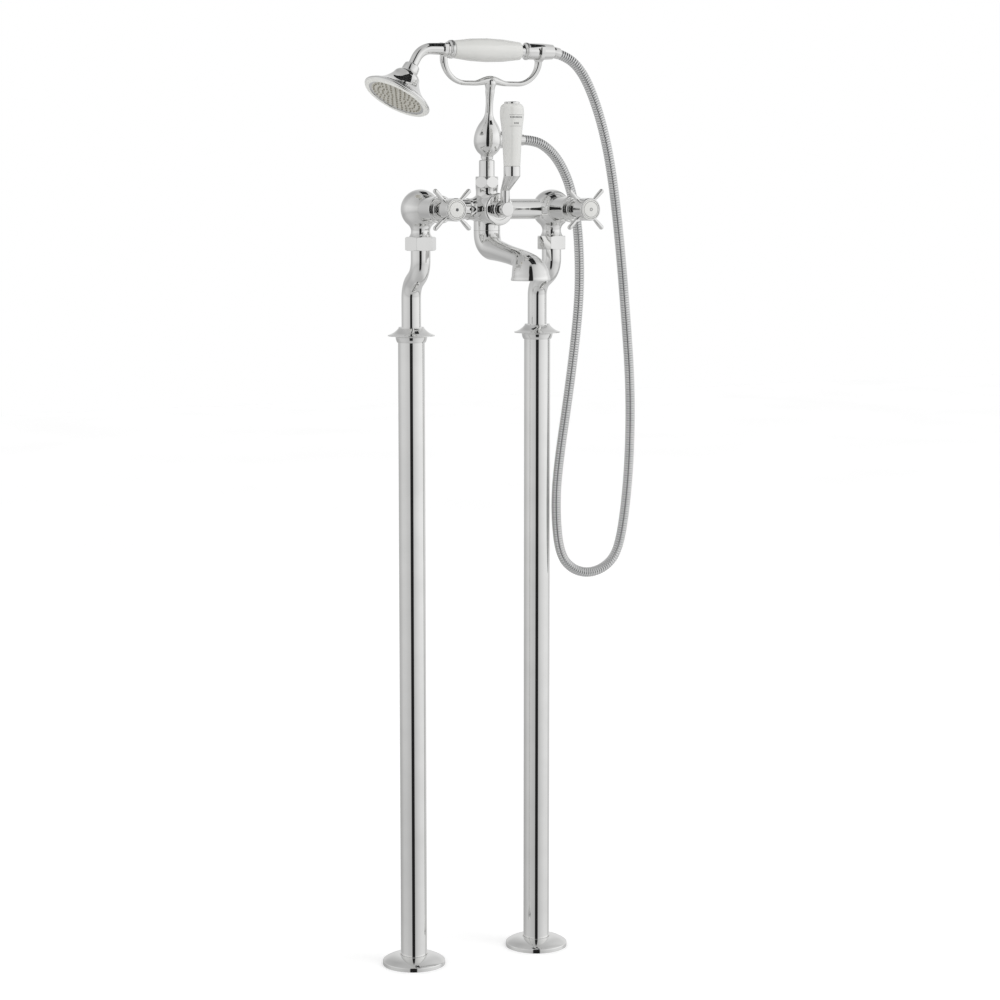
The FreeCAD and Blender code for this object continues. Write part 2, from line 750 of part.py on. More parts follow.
def build_headwork(name, sign):
    """Bonnet, quarter turn cartridge and cross handle, all on the valve's forward axis."""
    spot = (valve_x * sign, -s.setback, s.valve_height) + front
    shaft = s.spindle_radius + s.fit
    cavity = s.disc_radius + s.fit
    disc_foot = s.cartridge_back + 2.4
    disc_mid = disc_foot + s.disc_thickness
    disc_top = disc_mid + s.disc_thickness
    foot_top = disc_top + 4

    bonnet = new_body(f"{name}_bonnet")
    seat = s.barrel_length - s.recess_depth
    rim = recess_radius - s.fit
    turn(bonnet, [[
        (shaft, seat), (rim, seat), (rim, seat + 3), (s.bonnet_radius, seat + 3),
        (s.bonnet_radius, bonnet_front - 0.8), (s.bonnet_radius - 0.8, bonnet_front),
        (s.gland_radius, bonnet_front), (s.gland_radius, gland_front), (shaft, gland_front),
    ]])
    place(bonnet, spot)

    cartridge = new_body(f"{name}_cartridge")
    turn(cartridge, [[
        (s.disc_radius - 3, s.cartridge_back), (s.cartridge_radius, s.cartridge_back),
        (s.cartridge_radius, s.barrel_length - s.recess_depth), (shaft, s.barrel_length - s.recess_depth),
        (shaft, foot_top + s.fit), (cavity, foot_top + s.fit), (cavity, disc_foot),
        (s.disc_radius - 3, disc_foot),
    ]])
    window = [(-3, disc_mid + 0.5), (3, disc_mid + 0.5), (3, disc_top), (-3, disc_top)]
    extrude(cartridge, [window], 4 * s.cartridge_radius, role="XZ_Plane", cut=True, both=True)
    place(cartridge, spot)

    fixed = new_body(f"{name}_fixed_disc")
    extrude(fixed, [("circle", 0, 0, s.disc_radius)], s.disc_thickness, offset=disc_foot)
    extrude(fixed, [("circle", 0, 4, 2)], s.disc_thickness, offset=disc_foot, cut=True)
    place(fixed, spot)

    moving = new_body(f"{name}_turning_disc")
    thick = s.disc_thickness - s.fit
    extrude(moving, [("circle", 0, 0, s.disc_radius)], thick, offset=disc_mid + s.fit)
    extrude(moving, [("circle", 4, 0, 2)], thick, offset=disc_mid + s.fit, cut=True)
    place(moving, spot)

    spindle = new_body(f"{name}_spindle")
    tip = spindle_end
    turn(spindle, [[
        (0, disc_top), (s.disc_radius - 1, disc_top), (s.disc_radius - 1, foot_top - s.play),
        (s.spindle_radius, foot_top - s.play), (s.spindle_radius, tip), (2, tip), (2, tip - 10),
        (0, tip - 10),
    ]])
    place(spindle, spot)

    hub = new_body(f"{name}_handle_hub")
    start = gland_front + s.play
    web = hub_back + 3
    pocket = index_radius + s.fit
    turn(hub, [[
        (s.gland_radius - 1, start), (s.skirt_radius, start), (s.skirt_radius, hub_back - 3, ("right", 3.6)),
        (s.hub_radius, hub_back), (s.hub_radius, hub_front - 1), (s.hub_radius - 1, hub_front),
        (pocket, hub_front), (pocket, index_back), (s.screw_head + 0.6, index_back),
        (s.screw_head + 0.6, tip), (shaft, tip), (shaft, web - 6), (s.gland_radius - 1, web - 6),
    ]])
    hole = [("circle", 0, spoke_plane, s.spoke_radius + s.fit)]
    deep = s.hub_radius + 2 - s.spoke_seat
    drilled = extrude(hub, [hole[0]], deep, role="YZ_Plane", offset=s.spoke_seat, cut=True)
    repeat_round(hub, drilled, 4)
    place(hub, spot, (0, 0, 0, "z", 45))

    spokes = new_body(f"{name}_handle_spokes")
    spokes.AllowCompound = True
    tip_r = s.spoke_tip
    ball = s.spoke_reach - tip_r
    waist = s.spoke_radius
    spoke = turn(spokes, [[
        (s.spoke_seat, 0), (s.spoke_seat, -waist), (s.hub_radius + 6, -waist), (ball - 3, -tip_r),
        (ball, -tip_r, tip_r), (s.spoke_reach, 0),
    ]], role="XY_Plane", axis="H_Axis", offset=spoke_plane)
    repeat_round(spokes, spoke, 4)
    place(spokes, spot, (0, 0, 0, "z", 45))

    index = new_body(f"{name}_index_disc")
    turn(index, [[
        (0, index_back), (index_radius, index_back), (index_radius, hub_front - 0.6, 1.4),
        (index_radius - 1.2, hub_front + 0.4, dome(index_radius - 1.2, sized(0.8))),
        (0, hub_front + 1.2),
    ]])
    place(index, spot)

    screw = new_body(f"{name}_handle_screw")
    turn(screw, [[
        (0, tip - 9), (2 - s.fit, tip - 9), (2 - s.fit, tip), (s.screw_head, tip), (s.screw_head, tip + 3),
        (1.6, tip + 3), (1.6, tip + 1.4), (0, tip + 1.4),
    ]])
    place(screw, spot)


def build_diverter():
    """Barrel valve in the centre body's boss: a sleeve with four ports and a rotor on the lever's spindle."""
    spot = (0, -s.setback, s.valve_height) + front
    shaft = s.spindle_radius + s.fit
    bore = s.sleeve_radius - s.sleeve_wall

    bonnet = new_body("diverter_bonnet")
    turn(bonnet, [[
        (shaft, s.sleeve_front), (s.sleeve_radius, s.sleeve_front), (s.sleeve_radius, s.boss_length - 1),
        (s.diverter_gland, s.boss_length - 1), (s.diverter_gland, diverter_front - 1),
        (s.diverter_gland - 1, diverter_front), (shaft, diverter_front),
    ]])
    place(bonnet, spot)

    sleeve = new_body("diverter_sleeve")
    turn(sleeve, [ring(bore, s.sleeve_radius, -s.sleeve_back, s.sleeve_front)])
    cross = 4 * s.sleeve_radius
    extrude(sleeve, [("circle", 0, 0, s.sleeve_port)], cross, role="XZ_Plane", cut=True, both=True)
    extrude(sleeve, [("circle", 0, 0, s.sleeve_port)], cross, role="YZ_Plane", cut=True, both=True)
    place(sleeve, spot)

    rotor = new_body("diverter_rotor")
    solid = bore - s.fit
    turn(rotor, [[
        (0, -s.sleeve_back), (solid, -s.sleeve_back), (solid, s.rotor_front),
        (s.spindle_radius, s.rotor_front), (s.spindle_radius, lever_front - 4), (0, lever_front - 4),
    ]])
    # The notch opens the way to the riser or, turned by the lever, to the spout.
    notch = [(-6, -solid / 3), (6, -solid / 3), (6, solid + 1), (-6, solid + 1)]
    extrude(rotor, [notch], 13, offset=-6.5, cut=True)
    place(rotor, spot)


def build_lever():
    spot = (0, -s.setback, s.valve_height, "z", 0)
    lever = new_body("diverter_lever")
    middle = (lever_back + lever_front) / 2
    outer = middle + s.crank_offset
    turn(lever, [[
        (0, -lever_back), (0, -lever_front), (s.lever_hub - 1, -lever_front),
        (s.lever_hub, 1 - lever_front), (s.lever_hub, -lever_back),
    ]], role="XY_Plane")
    extrude(lever, [("circle", 0, -middle, s.lever_neck)], s.crank_foot)
    low = draw(lever, "XY_Plane", [("circle", 0, -middle, s.lever_neck)], offset=s.crank_foot)
    high = draw(lever, "XY_Plane", [("circle", 0, -outer, s.ferrule_radius)], offset=s.crank_top)
    crank = lever.newObject("PartDesign::AdditiveLoft", "lever_crank")
    crank.Profile = low
    crank.Sections = [high]
    extrude(lever, [("circle", 0, -outer, s.ferrule_radius)], s.ferrule_height, offset=s.crank_top)
    rod_foot = s.crank_top + s.ferrule_height
    rod = s.grip_length - 1
    extrude(lever, [("circle", 0, -outer, s.spindle_radius - 1)], rod, offset=rod_foot)
    shaft = s.spindle_radius + s.fit
    deep = lever_front - 4 - lever_back
    extrude(lever, [("circle", 0, 0, shaft)], deep, role="XZ_Plane", offset=lever_back, cut=True)
    place(lever, spot)

    height = s.grip_length
    shoulder = height - s.grip_shoulder
    grip_spot = (0, -s.setback - outer, s.valve_height + rod_foot, "z", 0)
    rod_hole = s.spindle_radius - 1 + s.fit
    grip = new_body("lever_grip")
    turn(grip, [[
        (rod_hole, 0), (s.grip_foot, 0), (s.grip_foot + 1.4, height * 0.37, ("right", s.grip_hollow)),
        (s.grip_head - 0.3, height * 0.78, s.grip_swell), (s.grip_head - 0.4, shoulder, s.grip_shoulder),
        (s.cap_radius + 0.6, height), (rod_hole, height),
    ]])
    place(grip, grip_spot)

    cap = new_body("lever_cap")
    turn(cap, [[
        (0, height), (s.cap_radius, height), (s.cap_radius, height + s.cap_height - 1, 1),
        (s.cap_radius - 1, height + s.cap_height, dome(s.cap_radius - 1, sized(0.4))),
        (0, height + s.cap_height + 0.4),
    ]])
    place(cap, grip_spot)


def build_spout():
    """Swept from the column's foot: a tight bend forward, a falling run and a wide mouth that faces down."""
    heading = 90 - s.spout_fall
    top = s.valve_height - s.column_drop
    first = s.spout_first_bend
    last = s.spout_last_bend
    root_radius = s.column_radius

    def station(forward, height, radius, degrees):
        return (sized(forward), sized(height), sized(radius), sized(degrees))

    def on_first(angle, radius):
        return station(first * (1 - cosine(angle)), top - s.spout_lead - first * sine(angle), radius, angle)

    run_start = on_first(heading, s.spout_waist)
    run_end = s.spout_reach - last * (1 - cosine(heading))
    slope = cosine(heading) / sine(heading)
    run_fall = (run_end - run_start[0]) * slope
    bend_foot = run_start[1] - run_fall - last * sine(heading)
    mouth = bend_foot - s.spout_lip

    def on_last(angle, radius):
        forward = s.spout_reach - last * (1 - cosine(angle))
        return station(forward, bend_foot + last * sine(angle), radius, angle)

    middle = (run_start[0] + run_end) / 2
    stations = [
        station(0, top, root_radius, 0),
        on_first(heading * 0.2, root_radius - 0.5),
        on_first(heading * 0.55, root_radius - 2.2),
        on_first(heading, s.spout_waist + 0.7),
        station(middle, run_start[1] - run_fall / 2, s.spout_waist, heading),
        on_last(heading, s.spout_waist + 1),
        on_last(heading * 0.6, (s.spout_waist + s.spout_mouth) / 2 - 1.2),
        on_last(heading * 0.25, s.spout_mouth - 2.2),
        station(s.spout_reach, mouth, s.spout_mouth, 0),
    ]

    # The water way is as narrow as the spigot's bore at the root and opens to the spout's own wall.
    inlet = root_radius - s.column_bore
    walls = [inlet, inlet, inlet - 2.2, s.spout_wall] + [s.spout_wall] * 5

    def loft(name, walls):
        sections = []
        for number, (forward, height, radius, degrees) in enumerate(stations):
            circle = doc.addObject("Part::Circle", f"{name}_{number}")
            radius = radius - walls[number]
            circle.Radius = radius.value
            circle.setExpression("Radius", radius.text)
            place(circle, (0, -s.setback - forward, height, "x", 180 - degrees))
            sections.append(circle)
        shape = doc.addObject("Part::Loft", name)
        shape.Sections = sections
        shape.Solid = True
        return shape

    outer = loft("spout_outside", [0] * len(stations))
    inner = loft("spout_inside", walls)
    bead = doc.addObject("Part::Cylinder", "spout_rim_bead")
    bead.setExpression("Radius", (s.spout_mouth + s.spout_bead).text)
    bead.setExpression("Height", (s.spout_bead * 4).text)
    place(bead, (0, -s.setback - s.spout_reach, mouth, "z", 0))
    spigot = doc.addObject("Part::Cylinder", "spout_spigot")
    spigot.setExpression("Radius", (s.column_bore + 3).text)
    spigot.setExpression("Height", sized(12).text)
    place(spigot, (0, -s.setback, top - 4, "z", 0))
    solid = doc.addObject("Part::MultiFuse", "spout_solid")
    solid.Shapes = [outer, bead, spigot]
    bore = doc.addObject("Part::Cylinder", "spout_spigot_bore")
    bore.setExpression("Radius", s.column_bore.text)
    bore.setExpression("Height", sized(12).text)
    place(bore, (0, -s.setback, top - 3, "z", 0))
    waterway = doc.addObject("Part::MultiFuse", "spout_waterway")
    waterway.Shapes = [inner, bore]
    spout = doc.addObject("Part::Cut", "spout")
    spout.Base = solid
    spout.Tool = waterway
    spout.Label = "spout"
    return spout, mouth


def build_riser():
    inside = s.riser_nut_height - s.riser_lip
    bores = [(spigot_radius + s.fit, 0, inside), (s.riser_radius + s.fit, 0, s.riser_nut_height)]
    nut = hex_nut("riser_nut", riser_flats, s.riser_nut_height, bores, s.riser_chamfer)
    place(nut, (0, -s.setback, riser_foot, "z", 3))

    tube = new_body("riser_tube")
    low = riser_foot + s.riser_thread
    flange_top = riser_foot + inside
    flange = spigot_radius - s.fit
    turn(tube, [[
        (s.riser_bore, low), (flange, low), (flange, flange_top),
        (s.riser_radius, flange_top), (s.riser_radius, riser_top - s.riser_shoulder, s.riser_shoulder),
        (s.riser_radius - s.riser_shoulder, riser_top), (s.riser_bore, riser_top),
    ]])
    place(tube, (0, -s.setback, 0, "z", 0))


# The cradle and the handset share one frame: its origin is the riser's top, and it leans forward.
cradle_frame = (0, -s.setback, riser_top, "x", s.lean)
handset_frame = (0, 0, s.cradle_height, "z", 0)
roll_frame = (0, 0, 0, "x", -s.head_roll)
outlet_frame = (0, 0, s.outlet_height, "y", 90)
tail_frame = (tail_end, 0, 0, "y", 90 + s.tail_droop)


def build_cradle():
    """Bulb, stem, humped bar, two arms and two open yokes in one casting, bored to the side outlet."""
    body = new_body("cradle")
    reach = s.bulb_lower + s.foot_curve
    inset = s.bulb_lower - s.bulb_radius
    middle = s.bulb_foot + s.foot_curve + inset
    drop = root(square(reach) - square(middle))
    touch = s.bulb_lower / reach
    flat = root(square(s.bulb_curve) - square(s.bulb_upper))
    upper_r = s.bulb_radius - s.bulb_curve + flat
    upper_z = s.bulb_height + s.bulb_upper
    cos_turn = flat / s.bulb_curve
    stem_curve = (upper_r - s.stem_radius) / (1 - cos_turn)
    stem_z = upper_z + stem_curve * s.bulb_upper / s.bulb_curve
    left_yoke = s.neck_pipe + s.play
    right_yoke = s.tail_radius + s.play
    left_end = s.cradle_height - left_yoke - s.yoke_thickness / 2
    right_end = s.cradle_height - right_yoke - s.yoke_thickness / 2
    low_arm = right_end - s.arm_rise
    bar = low_arm - s.arm_bend
    crown = bar + s.bar_hump + s.bar_radius - s.stem_flare + 0.6
    turn(body, [[
        (0, -s.neck_depth), (cradle_neck, -s.neck_depth),
        (cradle_neck, s.bulb_gap), (s.bulb_foot, s.bulb_gap),
        (s.bulb_foot, s.bulb_height - drop, ("right", s.foot_curve)),
        (touch * middle - inset, s.bulb_height - touch * drop, s.bulb_lower),
        (s.bulb_radius, s.bulb_height, s.bulb_curve),
        (upper_r, upper_z, ("right", stem_curve)), (s.stem_radius, stem_z),
        (s.stem_radius + 0.6, bar - 12, ("right", 30)), (s.stem_flare, crown - 1),
        (s.stem_flare, crown, s.stem_flare), (0, crown + s.stem_flare),
    ]])
    hump = (square(s.hump_half) + square(s.bar_hump)) / (4 * s.bar_hump)
    half = s.hump_half / 2
    corner = arm_reach - s.arm_bend
    rise = bar + s.bar_hump / 2
    spine = draw(body, "XZ_Plane", [[
        (-arm_reach, left_end), (-arm_reach, low_arm, s.arm_bend), (-corner, bar),
        (-s.hump_half, bar, hump), (-half, rise, ("right", hump)), (half, rise, hump),
        (s.hump_half, bar), (corner, bar, s.arm_bend), (arm_reach, low_arm), (arm_reach, right_end),
    ]], closed=False)
    profile = draw(body, "XY_Plane", [("circle", -arm_reach, 0, s.bar_radius)], offset=left_end)
    arms = body.newObject("PartDesign::AdditivePipe", "cradle_arms")
    arms.Profile = profile
    arms.Spine = spine
    for inner, x in ((left_yoke, -arm_reach), (right_yoke, arm_reach)):
        outer = inner + s.yoke_thickness
        axis = s.cradle_height
        tip = axis + s.yoke_prong
        round_tip = s.yoke_thickness / 2
        centre = inner + round_tip
        extrude(body, [[
            (-outer, axis, outer), (0, axis - outer, outer), (outer, axis), (outer, tip, round_tip),
            (centre, tip + round_tip, round_tip), (inner, tip), (inner, axis, ("right", inner)),
            (0, axis - inner, ("right", inner)), (-inner, axis), (-inner, tip, round_tip),
            (-centre, tip + round_tip, round_tip), (-outer, tip),
        ]], s.yoke_width, role="YZ_Plane", offset=x, both=True)
    # Side outlet for the hose on the bulb.
    z = s.outlet_height
    inside = s.bulb_radius - 5
    turn(body, [[
        (inside, 0), (inside, s.outlet_radius), (s.outlet_reach - 1, s.outlet_radius),
        (s.outlet_reach, s.outlet_radius - 1), (s.outlet_reach, s.outlet_bore + 2),
        (s.outlet_reach + 7, s.outlet_bore + 2), (s.outlet_reach + 7, 0),
    ]], role="XZ_Plane", axis="H_Axis", offset=None).Profile[0].setExpression(
        "AttachmentOffset.Base.y", z.text)
    deep = s.outlet_height + s.neck_depth
    extrude(body, [("circle", 0, 0, s.outlet_bore)], deep, offset=-s.neck_depth, cut=True)
    side = s.outlet_reach + 7
    extrude(body, [("circle", 0, z, s.outlet_bore)], side, role="YZ_Plane", cut=True)
    place(body, cradle_frame)


def build_hose_ends():
    """The union and crimped ferrule at the outlet, and the ferrule at the handset's tail."""
    union = new_body("hose_union")
    nipple = s.outlet_bore + 2 + s.fit
    turn(union, [[
        (nipple, union_start), (s.union_radius, union_start), (s.union_radius, union_start + 10),
        (crimp_outer + 0.8, union_end), (s.outlet_bore, union_end), (s.outlet_bore, union_start + 8),
        (nipple, union_start + 8),
    ]])
    place(union, cradle_frame, outlet_frame)

    lower = new_body("lower_hose_ferrule")
    mouth = hose_start + s.crimp_length
    edge = crimp_outer - s.crimp_wall / 2
    turn(lower, [[
        (hose_bore, union_end), (crimp_outer, union_end), (crimp_outer, mouth - 0.5), (edge, mouth),
        (crimp_bore, mouth), (crimp_bore, hose_start), (hose_bore, hose_start),
    ]])
    place(lower, cradle_frame, outlet_frame)

    upper = new_body("upper_hose_ferrule")
    back = -s.tail_seat - 1.7
    mouth = s.tail_crimp
    turn(upper, [[
        (hose_bore, back), (crimp_outer - 1.5, back), (crimp_outer, -s.tail_seat),
        (crimp_outer, mouth - 0.5), (edge, mouth), (crimp_bore, mouth),
        (crimp_bore, -s.tail_seat), (hose_bore, -s.tail_seat),
    ]])
    place(upper, cradle_frame, handset_frame, tail_frame)


def build_handset():
    grip = new_body("handset_grip")
    bore = s.neck_pipe + s.fit
    half = (s.grip_left + s.grip_right) / 2
    rise = s.handle_mid - s.handle_end
    curve = (square(half) + square(rise)) / (2 * rise)
    # Profiles along the handset are drawn below its axis, so that each runs left to right.
    turn(grip, [[
        (-s.grip_left, -bore), (-s.grip_left, 0.8 - s.handle_end), (0.8 - s.grip_left, -s.handle_end, curve),
        (s.grip_right - 0.8, -s.handle_end), (s.grip_right, 0.8 - s.handle_end), (s.grip_right, -bore),
    ]], axis="H_Axis")
    place(grip, cradle_frame, handset_frame)

    collar = new_body("handset_collar")
    right = -s.grip_left
    left = right - s.collar_length
    bead = right - 6
    turn(collar, [[
        (left, -bore), (left, 0.6 - s.collar_small), (left + 0.6, -s.collar_small),
        (bead - 0.6, -s.collar_small),
        (bead, 1.2 - s.collar_bead), (bead + 1.2, -s.collar_bead), (right - 1.2, -s.collar_bead),
        (right, 1.2 - s.collar_bead), (right, -bore),
    ]], axis="H_Axis")
    place(collar, cradle_frame, handset_frame)

    # Neck pipe: from the tail through the grip, then down to the rose.
    pipe = new_body("handset_neck_pipe")
    slope_x = sine(s.head_tilt)
    slope_z = cosine(s.head_tilt)
    tangent = s.neck_bend * (1 - slope_x) / slope_z
    start = s.grip_right + 4
    reach = s.neck_drop + 5
    spine = draw(pipe, "XZ_Plane", [[
        (start, 0), (tangent - neck_corner, 0, s.neck_bend),
        (-neck_corner - slope_x * tangent, -slope_z * tangent),
        (-neck_corner - slope_x * reach, -slope_z * reach),
    ]], closed=False)
    walls = [("circle", 0, 0, s.neck_pipe), ("circle", 0, 0, s.neck_pipe - s.neck_wall)]
    profile = draw(pipe, "YZ_Plane", walls, offset=start)
    sweep = pipe.newObject("PartDesign::AdditivePipe", "neck_pipe_sweep")
    sweep.Profile = profile
    sweep.Spine = spine
    place(pipe, cradle_frame, handset_frame, roll_frame)

    tail = new_body("handset_tail")
    low = s.grip_right + s.fit
    inner = s.neck_pipe - s.neck_wall
    end = tail_end
    lip = crimp_outer + s.tail_lip
    turn(tail, [[
        (low, -bore), (low, -s.tail_neck), (low + 4, -s.tail_neck), (low + 8, 0.8 - s.tail_bead),
        (low + 9, -s.tail_bead), (low + 10.5, -s.tail_bead), (low + 11.2, -s.tail_radius),
        (arm_reach + s.yoke_width, -s.tail_radius), (end - 0.6, -lip), (end, 0.6 - lip),
        (end, -crimp_outer - 1), (end - 6, -crimp_outer - 0.6),
        (end - 6, -inner), (s.grip_right + 4 + s.fit, -inner), (s.grip_right + 4 + s.fit, -bore),
    ]], axis="H_Axis")
    place(tail, cradle_frame, handset_frame)

    build_rose()


ring_count = 5  # rings of nubs on the rose


def build_rose():
    """Cone nut, bell, perforated plate and nozzle mat on the axis of the neck's end."""
    head_x = -neck_corner - sine(s.head_tilt) * s.neck_drop
    head_z = -cosine(s.head_tilt) * s.neck_drop
    head = (head_x, 0, head_z, "y", 180 + s.head_tilt)
    steps = (cradle_frame, handset_frame, roll_frame, head)
    pipe = s.neck_pipe + s.fit
    length = s.rose_nut_length

    nut = new_body("rose_nut")
    nut_top = pipe + s.rose_nut_wall
    turn(nut, [[
        (pipe, 0), (nut_top - 0.4, 0), (nut_top, 0.4, 18), (s.rose_nut_foot, length - 1),
        (s.rose_nut_foot, length), (pipe, length),
    ]])
    place(nut, *steps)

    bell = new_body("rose_bell")
    top = length
    foot = top + s.bell_depth
    wall = s.bell_wall
    seat = foot - s.face_recess - s.plate_wall
    mat_foot = seat - s.mat_thickness
    face = face_radius
    ledge = face - s.mat_thickness
    inner = s.neck_pipe - s.neck_wall
    turn(bell, [[
        (inner, top), (s.rose_nut_foot, top, 6), (s.bell_shoulder, top + 5.2, ("right", s.bell_flare)),
        (s.bell_radius - 5.6, foot - 9, 6.5), (s.bell_radius, foot - 3.4, 3.4),
        (s.bell_radius - 2.4, foot), (face, foot), (face, seat), (ledge, seat),
        (ledge, mat_foot - 3, s.bell_inside), (s.bell_shoulder - wall, top + 8), (inner, top + 4),
    ]])
    place(bell, *steps)

    plate = new_body("rose_plate")
    extrude(plate, [("circle", 0, 0, face - s.fit)], s.plate_wall, offset=seat)
    mat = new_body("nozzle_mat")
    extrude(mat, [("circle", 0, 0, ledge - s.fit)], s.mat_thickness, offset=mat_foot)
    hole = s.nub_radius + s.fit
    extrude(plate, [("circle", 0, 0, hole)], s.plate_wall, offset=seat, cut=True)
    extrude(mat, [("circle", 0, 0, s.nub_radius)], s.nub_height, offset=seat)
    ring_step = (face - s.ring_margin) / ring_count
    for number in range(1, ring_count + 1):
        radius = ring_step * number
        spot = ("circle", radius, 0, hole)
        pierced = extrude(plate, [spot], s.plate_wall, offset=seat, cut=True)
        repeat_round(plate, pierced, 6 * number)
        raised = extrude(mat, [("circle", radius, 0, s.nub_radius)], s.nub_height, offset=seat)
        repeat_round(mat, raised, 6 * number)
    place(plate, *steps)
    place(mat, *steps)


def build_washers():
    """The two fibre washers in the union nuts."""
    parts = []
    for side, _, sign in sides:
        outer = doc.addObject("Part::Cylinder", f"{side}_washer_disc")
        inner = doc.addObject("Part::Cylinder", f"{side}_washer_hole")
        for item, radius in ((outer, s.union_thread - s.play), (inner, s.washer_bore)):
            item.setExpression("Radius", radius.text)
            item.setExpression("Height", s.washer_thickness.text)
            place(item, (valve_x * sign, -s.setback, pipe_collar_high, "z", 0))
        washer = doc.addObject("Part::Cut", f"{side}_washer")
        washer.Base = outer
        washer.Tool = inner
        parts.append(washer)
    group = doc.addObject("Part::Compound", "union_washers")
    group.Links = parts
    group.Label = "union_washers"
    return group


# Route of the hose: straight out of the ferrule at the bulb, down behind the cold valve, round the
# low bend, up, and straight into the ferrule at the handset's tail.
hose_hang = [
    (86.0, -33.0, 1024.0), (105.0, -29.0, 1005.5),
    (122.0, -24.0, 976.0), (135.5, -18.0, 930.0), (140.5, -15.0, 868.0), (137.5, -15.0, 812.0),
    (126.0, -15.0, 725.0), (108.5, -15.0, 618.0), (106.5, -15.0, 562.0), (112.7, -15.0, 512.6),
    (130.9, -15.0, 491.7), (157.8, -15.0, 485.0), (183.7, -16.0, 494.9), (198.3, -17.0, 516.6),
    (206.5, -19.0, 570.0), (210.5, -22.0, 640.0), (208.5, -26.0, 725.0), (199.0, -30.0, 812.0),
    (187.5, -34.0, 905.0), (173.3, -38.0, 993.5), (157.5, -42.0, 1051.5), (138.0, -45.0, 1097.7),
    (120.0, -46.8, 1124.2),
]
rib_count = 200  # on the hose


def route_pieces(points):
    """Straight runs joined by tangent arcs, as (kind, length, values) in order."""
    pieces = []
    here = points[0]
    for i in range(1, len(points) - 1):
        corner = points[i]
        before = (corner - points[i - 1]).normalize()
        after = (points[i + 1] - corner).normalize()
        angle = before.getAngle(after)
        shorter = min((corner - points[i - 1]).Length, (points[i + 1] - corner).Length)
        radius = 0.45 * shorter / math.tan(angle / 2)
        tangent = 0.45 * shorter
        start = corner - before * tangent
        pieces.append(("run", (start - here).Length, (here, before)))
        inward = (after - before * math.cos(angle)).normalize()
        pieces.append(("arc", radius * angle, (start, before, inward, radius)))
        print(f"hose corner {i}: radius {radius:.1f} mm")
        here = corner + after * tangent
    last = points[-1] - here
    pieces.append(("run", last.Length, (here, last.normalize())))
    return pieces


def along_route(pieces, distance):
    """The point and direction at a distance along the route."""
    for kind, length, values in pieces:
        if distance <= length or kind == "run" and pieces[-1][2] is values:
            if kind == "run":
                return values[0] + values[1] * distance, values[1]
            start, before, inward, radius = values
            angle = distance / radius
            spot = start + before * (radius * math.sin(angle)) + inward * (radius * (1 - math.cos(angle)))
            return spot, before * math.cos(angle) + inward * math.sin(angle)
        distance -= length


def build_hose():
    """Wound metal hose: a rib every few millimetres and an open bore, on the route of runs and arcs."""
    leaving = [hose_start, hose_start + s.hose_lead]
    arriving = [s.tail_seat + 14, s.play - s.tail_seat]
    route = [point(cradle_frame, outlet_frame, (0, 0, along, "z", 0)) for along in leaving]
    route += [Vector(*corner) for corner in hose_hang]
    route += [point(cradle_frame, handset_frame, tail_frame, (0, 0, along, "z", 0)) for along in arriving]
    for corner in route:
        print(f"hose point {corner.x:.2f} {corner.y:.2f} {corner.z:.2f}")
    pieces = route_pieces(route)
    total = sum(piece[1] for piece in pieces)
    steady = Vector(0, 1, 0)
    crest = s.hose_radius.value
    valley = hose_valley.value
    bore = hose_bore.value
    pitch = total / rib_count

    def circle_at(distance, radius):
        spot, way = along_route(pieces, distance)
        side = (steady - way * steady.dot(way)).normalize()
        frame = Rotation(side, way.cross(side), way, "XYZ")
        hoop = Part.Wire(Part.makeCircle(radius))
        hoop.Placement = Placement(spot, frame)
        return hoop

    outside = []
    inside = [circle_at(0, bore)]
    for number in range(rib_count):
        start = number * pitch
        outside.append(circle_at(start, valley))
        outside.append(circle_at(start + pitch * 0.15, crest))
        outside.append(circle_at(start + pitch * 0.7, crest))
        outside.append(circle_at(start + pitch * 0.85, valley))
        inside.append(circle_at(start + pitch, bore))
    outside.append(circle_at(total, valley))
    skin = Part.makeLoft(outside, True, True)
    lining = Part.makeLoft(inside, True, True)
    solid = skin.cut(lining).Solids[0]
    hose = doc.addObject("Part::Feature", "hose")
    hose.Label = "hose"
    hose.Shape = solid
    expected = math.pi * ((0.7 * crest + 0.3 * valley) ** 2 - bore ** 2) * total
    print(f"hose length {total:.1f} mm, volume {solid.Volume:.0f} of about {expected:.0f} mm3")
    return hose


for side, name, sign in sides:
    build_leg(side, sign)
    build_union(side, sign, -9.5 if sign < 0 else 0)
    build_valve_body(name, sign)
    build_bridge_tube(name, sign)
    build_headwork(name, sign)
build_centre_body()
build_diverter()
build_lever()
spout, mouth_height = build_spout()
build_riser()
build_cradle()
build_hose_ends()
build_handset()
washers = build_washers()
hose = build_hose()
doc.recompute()

kept = [item for item in doc.Objects if item.TypeId == "PartDesign::Body"] + [spout, washers, hose]
faults = []
for item in doc.Objects:
    if "Invalid" in item.State or "Error" in item.State:
        faults.append(f"{item.Label} {item.State} {item.getStatusString()}")
    elif item.TypeId in ("PartDesign::Pocket", "PartDesign::Groove"):
        if item.Shape.Volume > item.BaseFeature.Shape.Volume - 0.01:
            faults.append(f"{item.Label} cuts nothing")
for item in kept:
    if item.Shape.isNull() or not item.Shape.isValid():
        faults.append(f"{item.Label} has no valid shape")
if faults:
    raise RuntimeError("; ".join(faults))

os.makedirs("parts", exist_ok=True)
for item in kept:
    item.Shape.exportStep(f"parts/{item.Label}.step")
print(f"{len(kept)} pieces written, spout mouth at {mouth_height.value:.1f} mm")
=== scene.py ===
import json
from math import asin, atan2, ceil, cos, hypot, pi, radians, sin, sqrt, tan, tau

import bmesh
import bpy
from mathutils import Matrix, Vector
from mathutils.geometry import interpolate_bezier

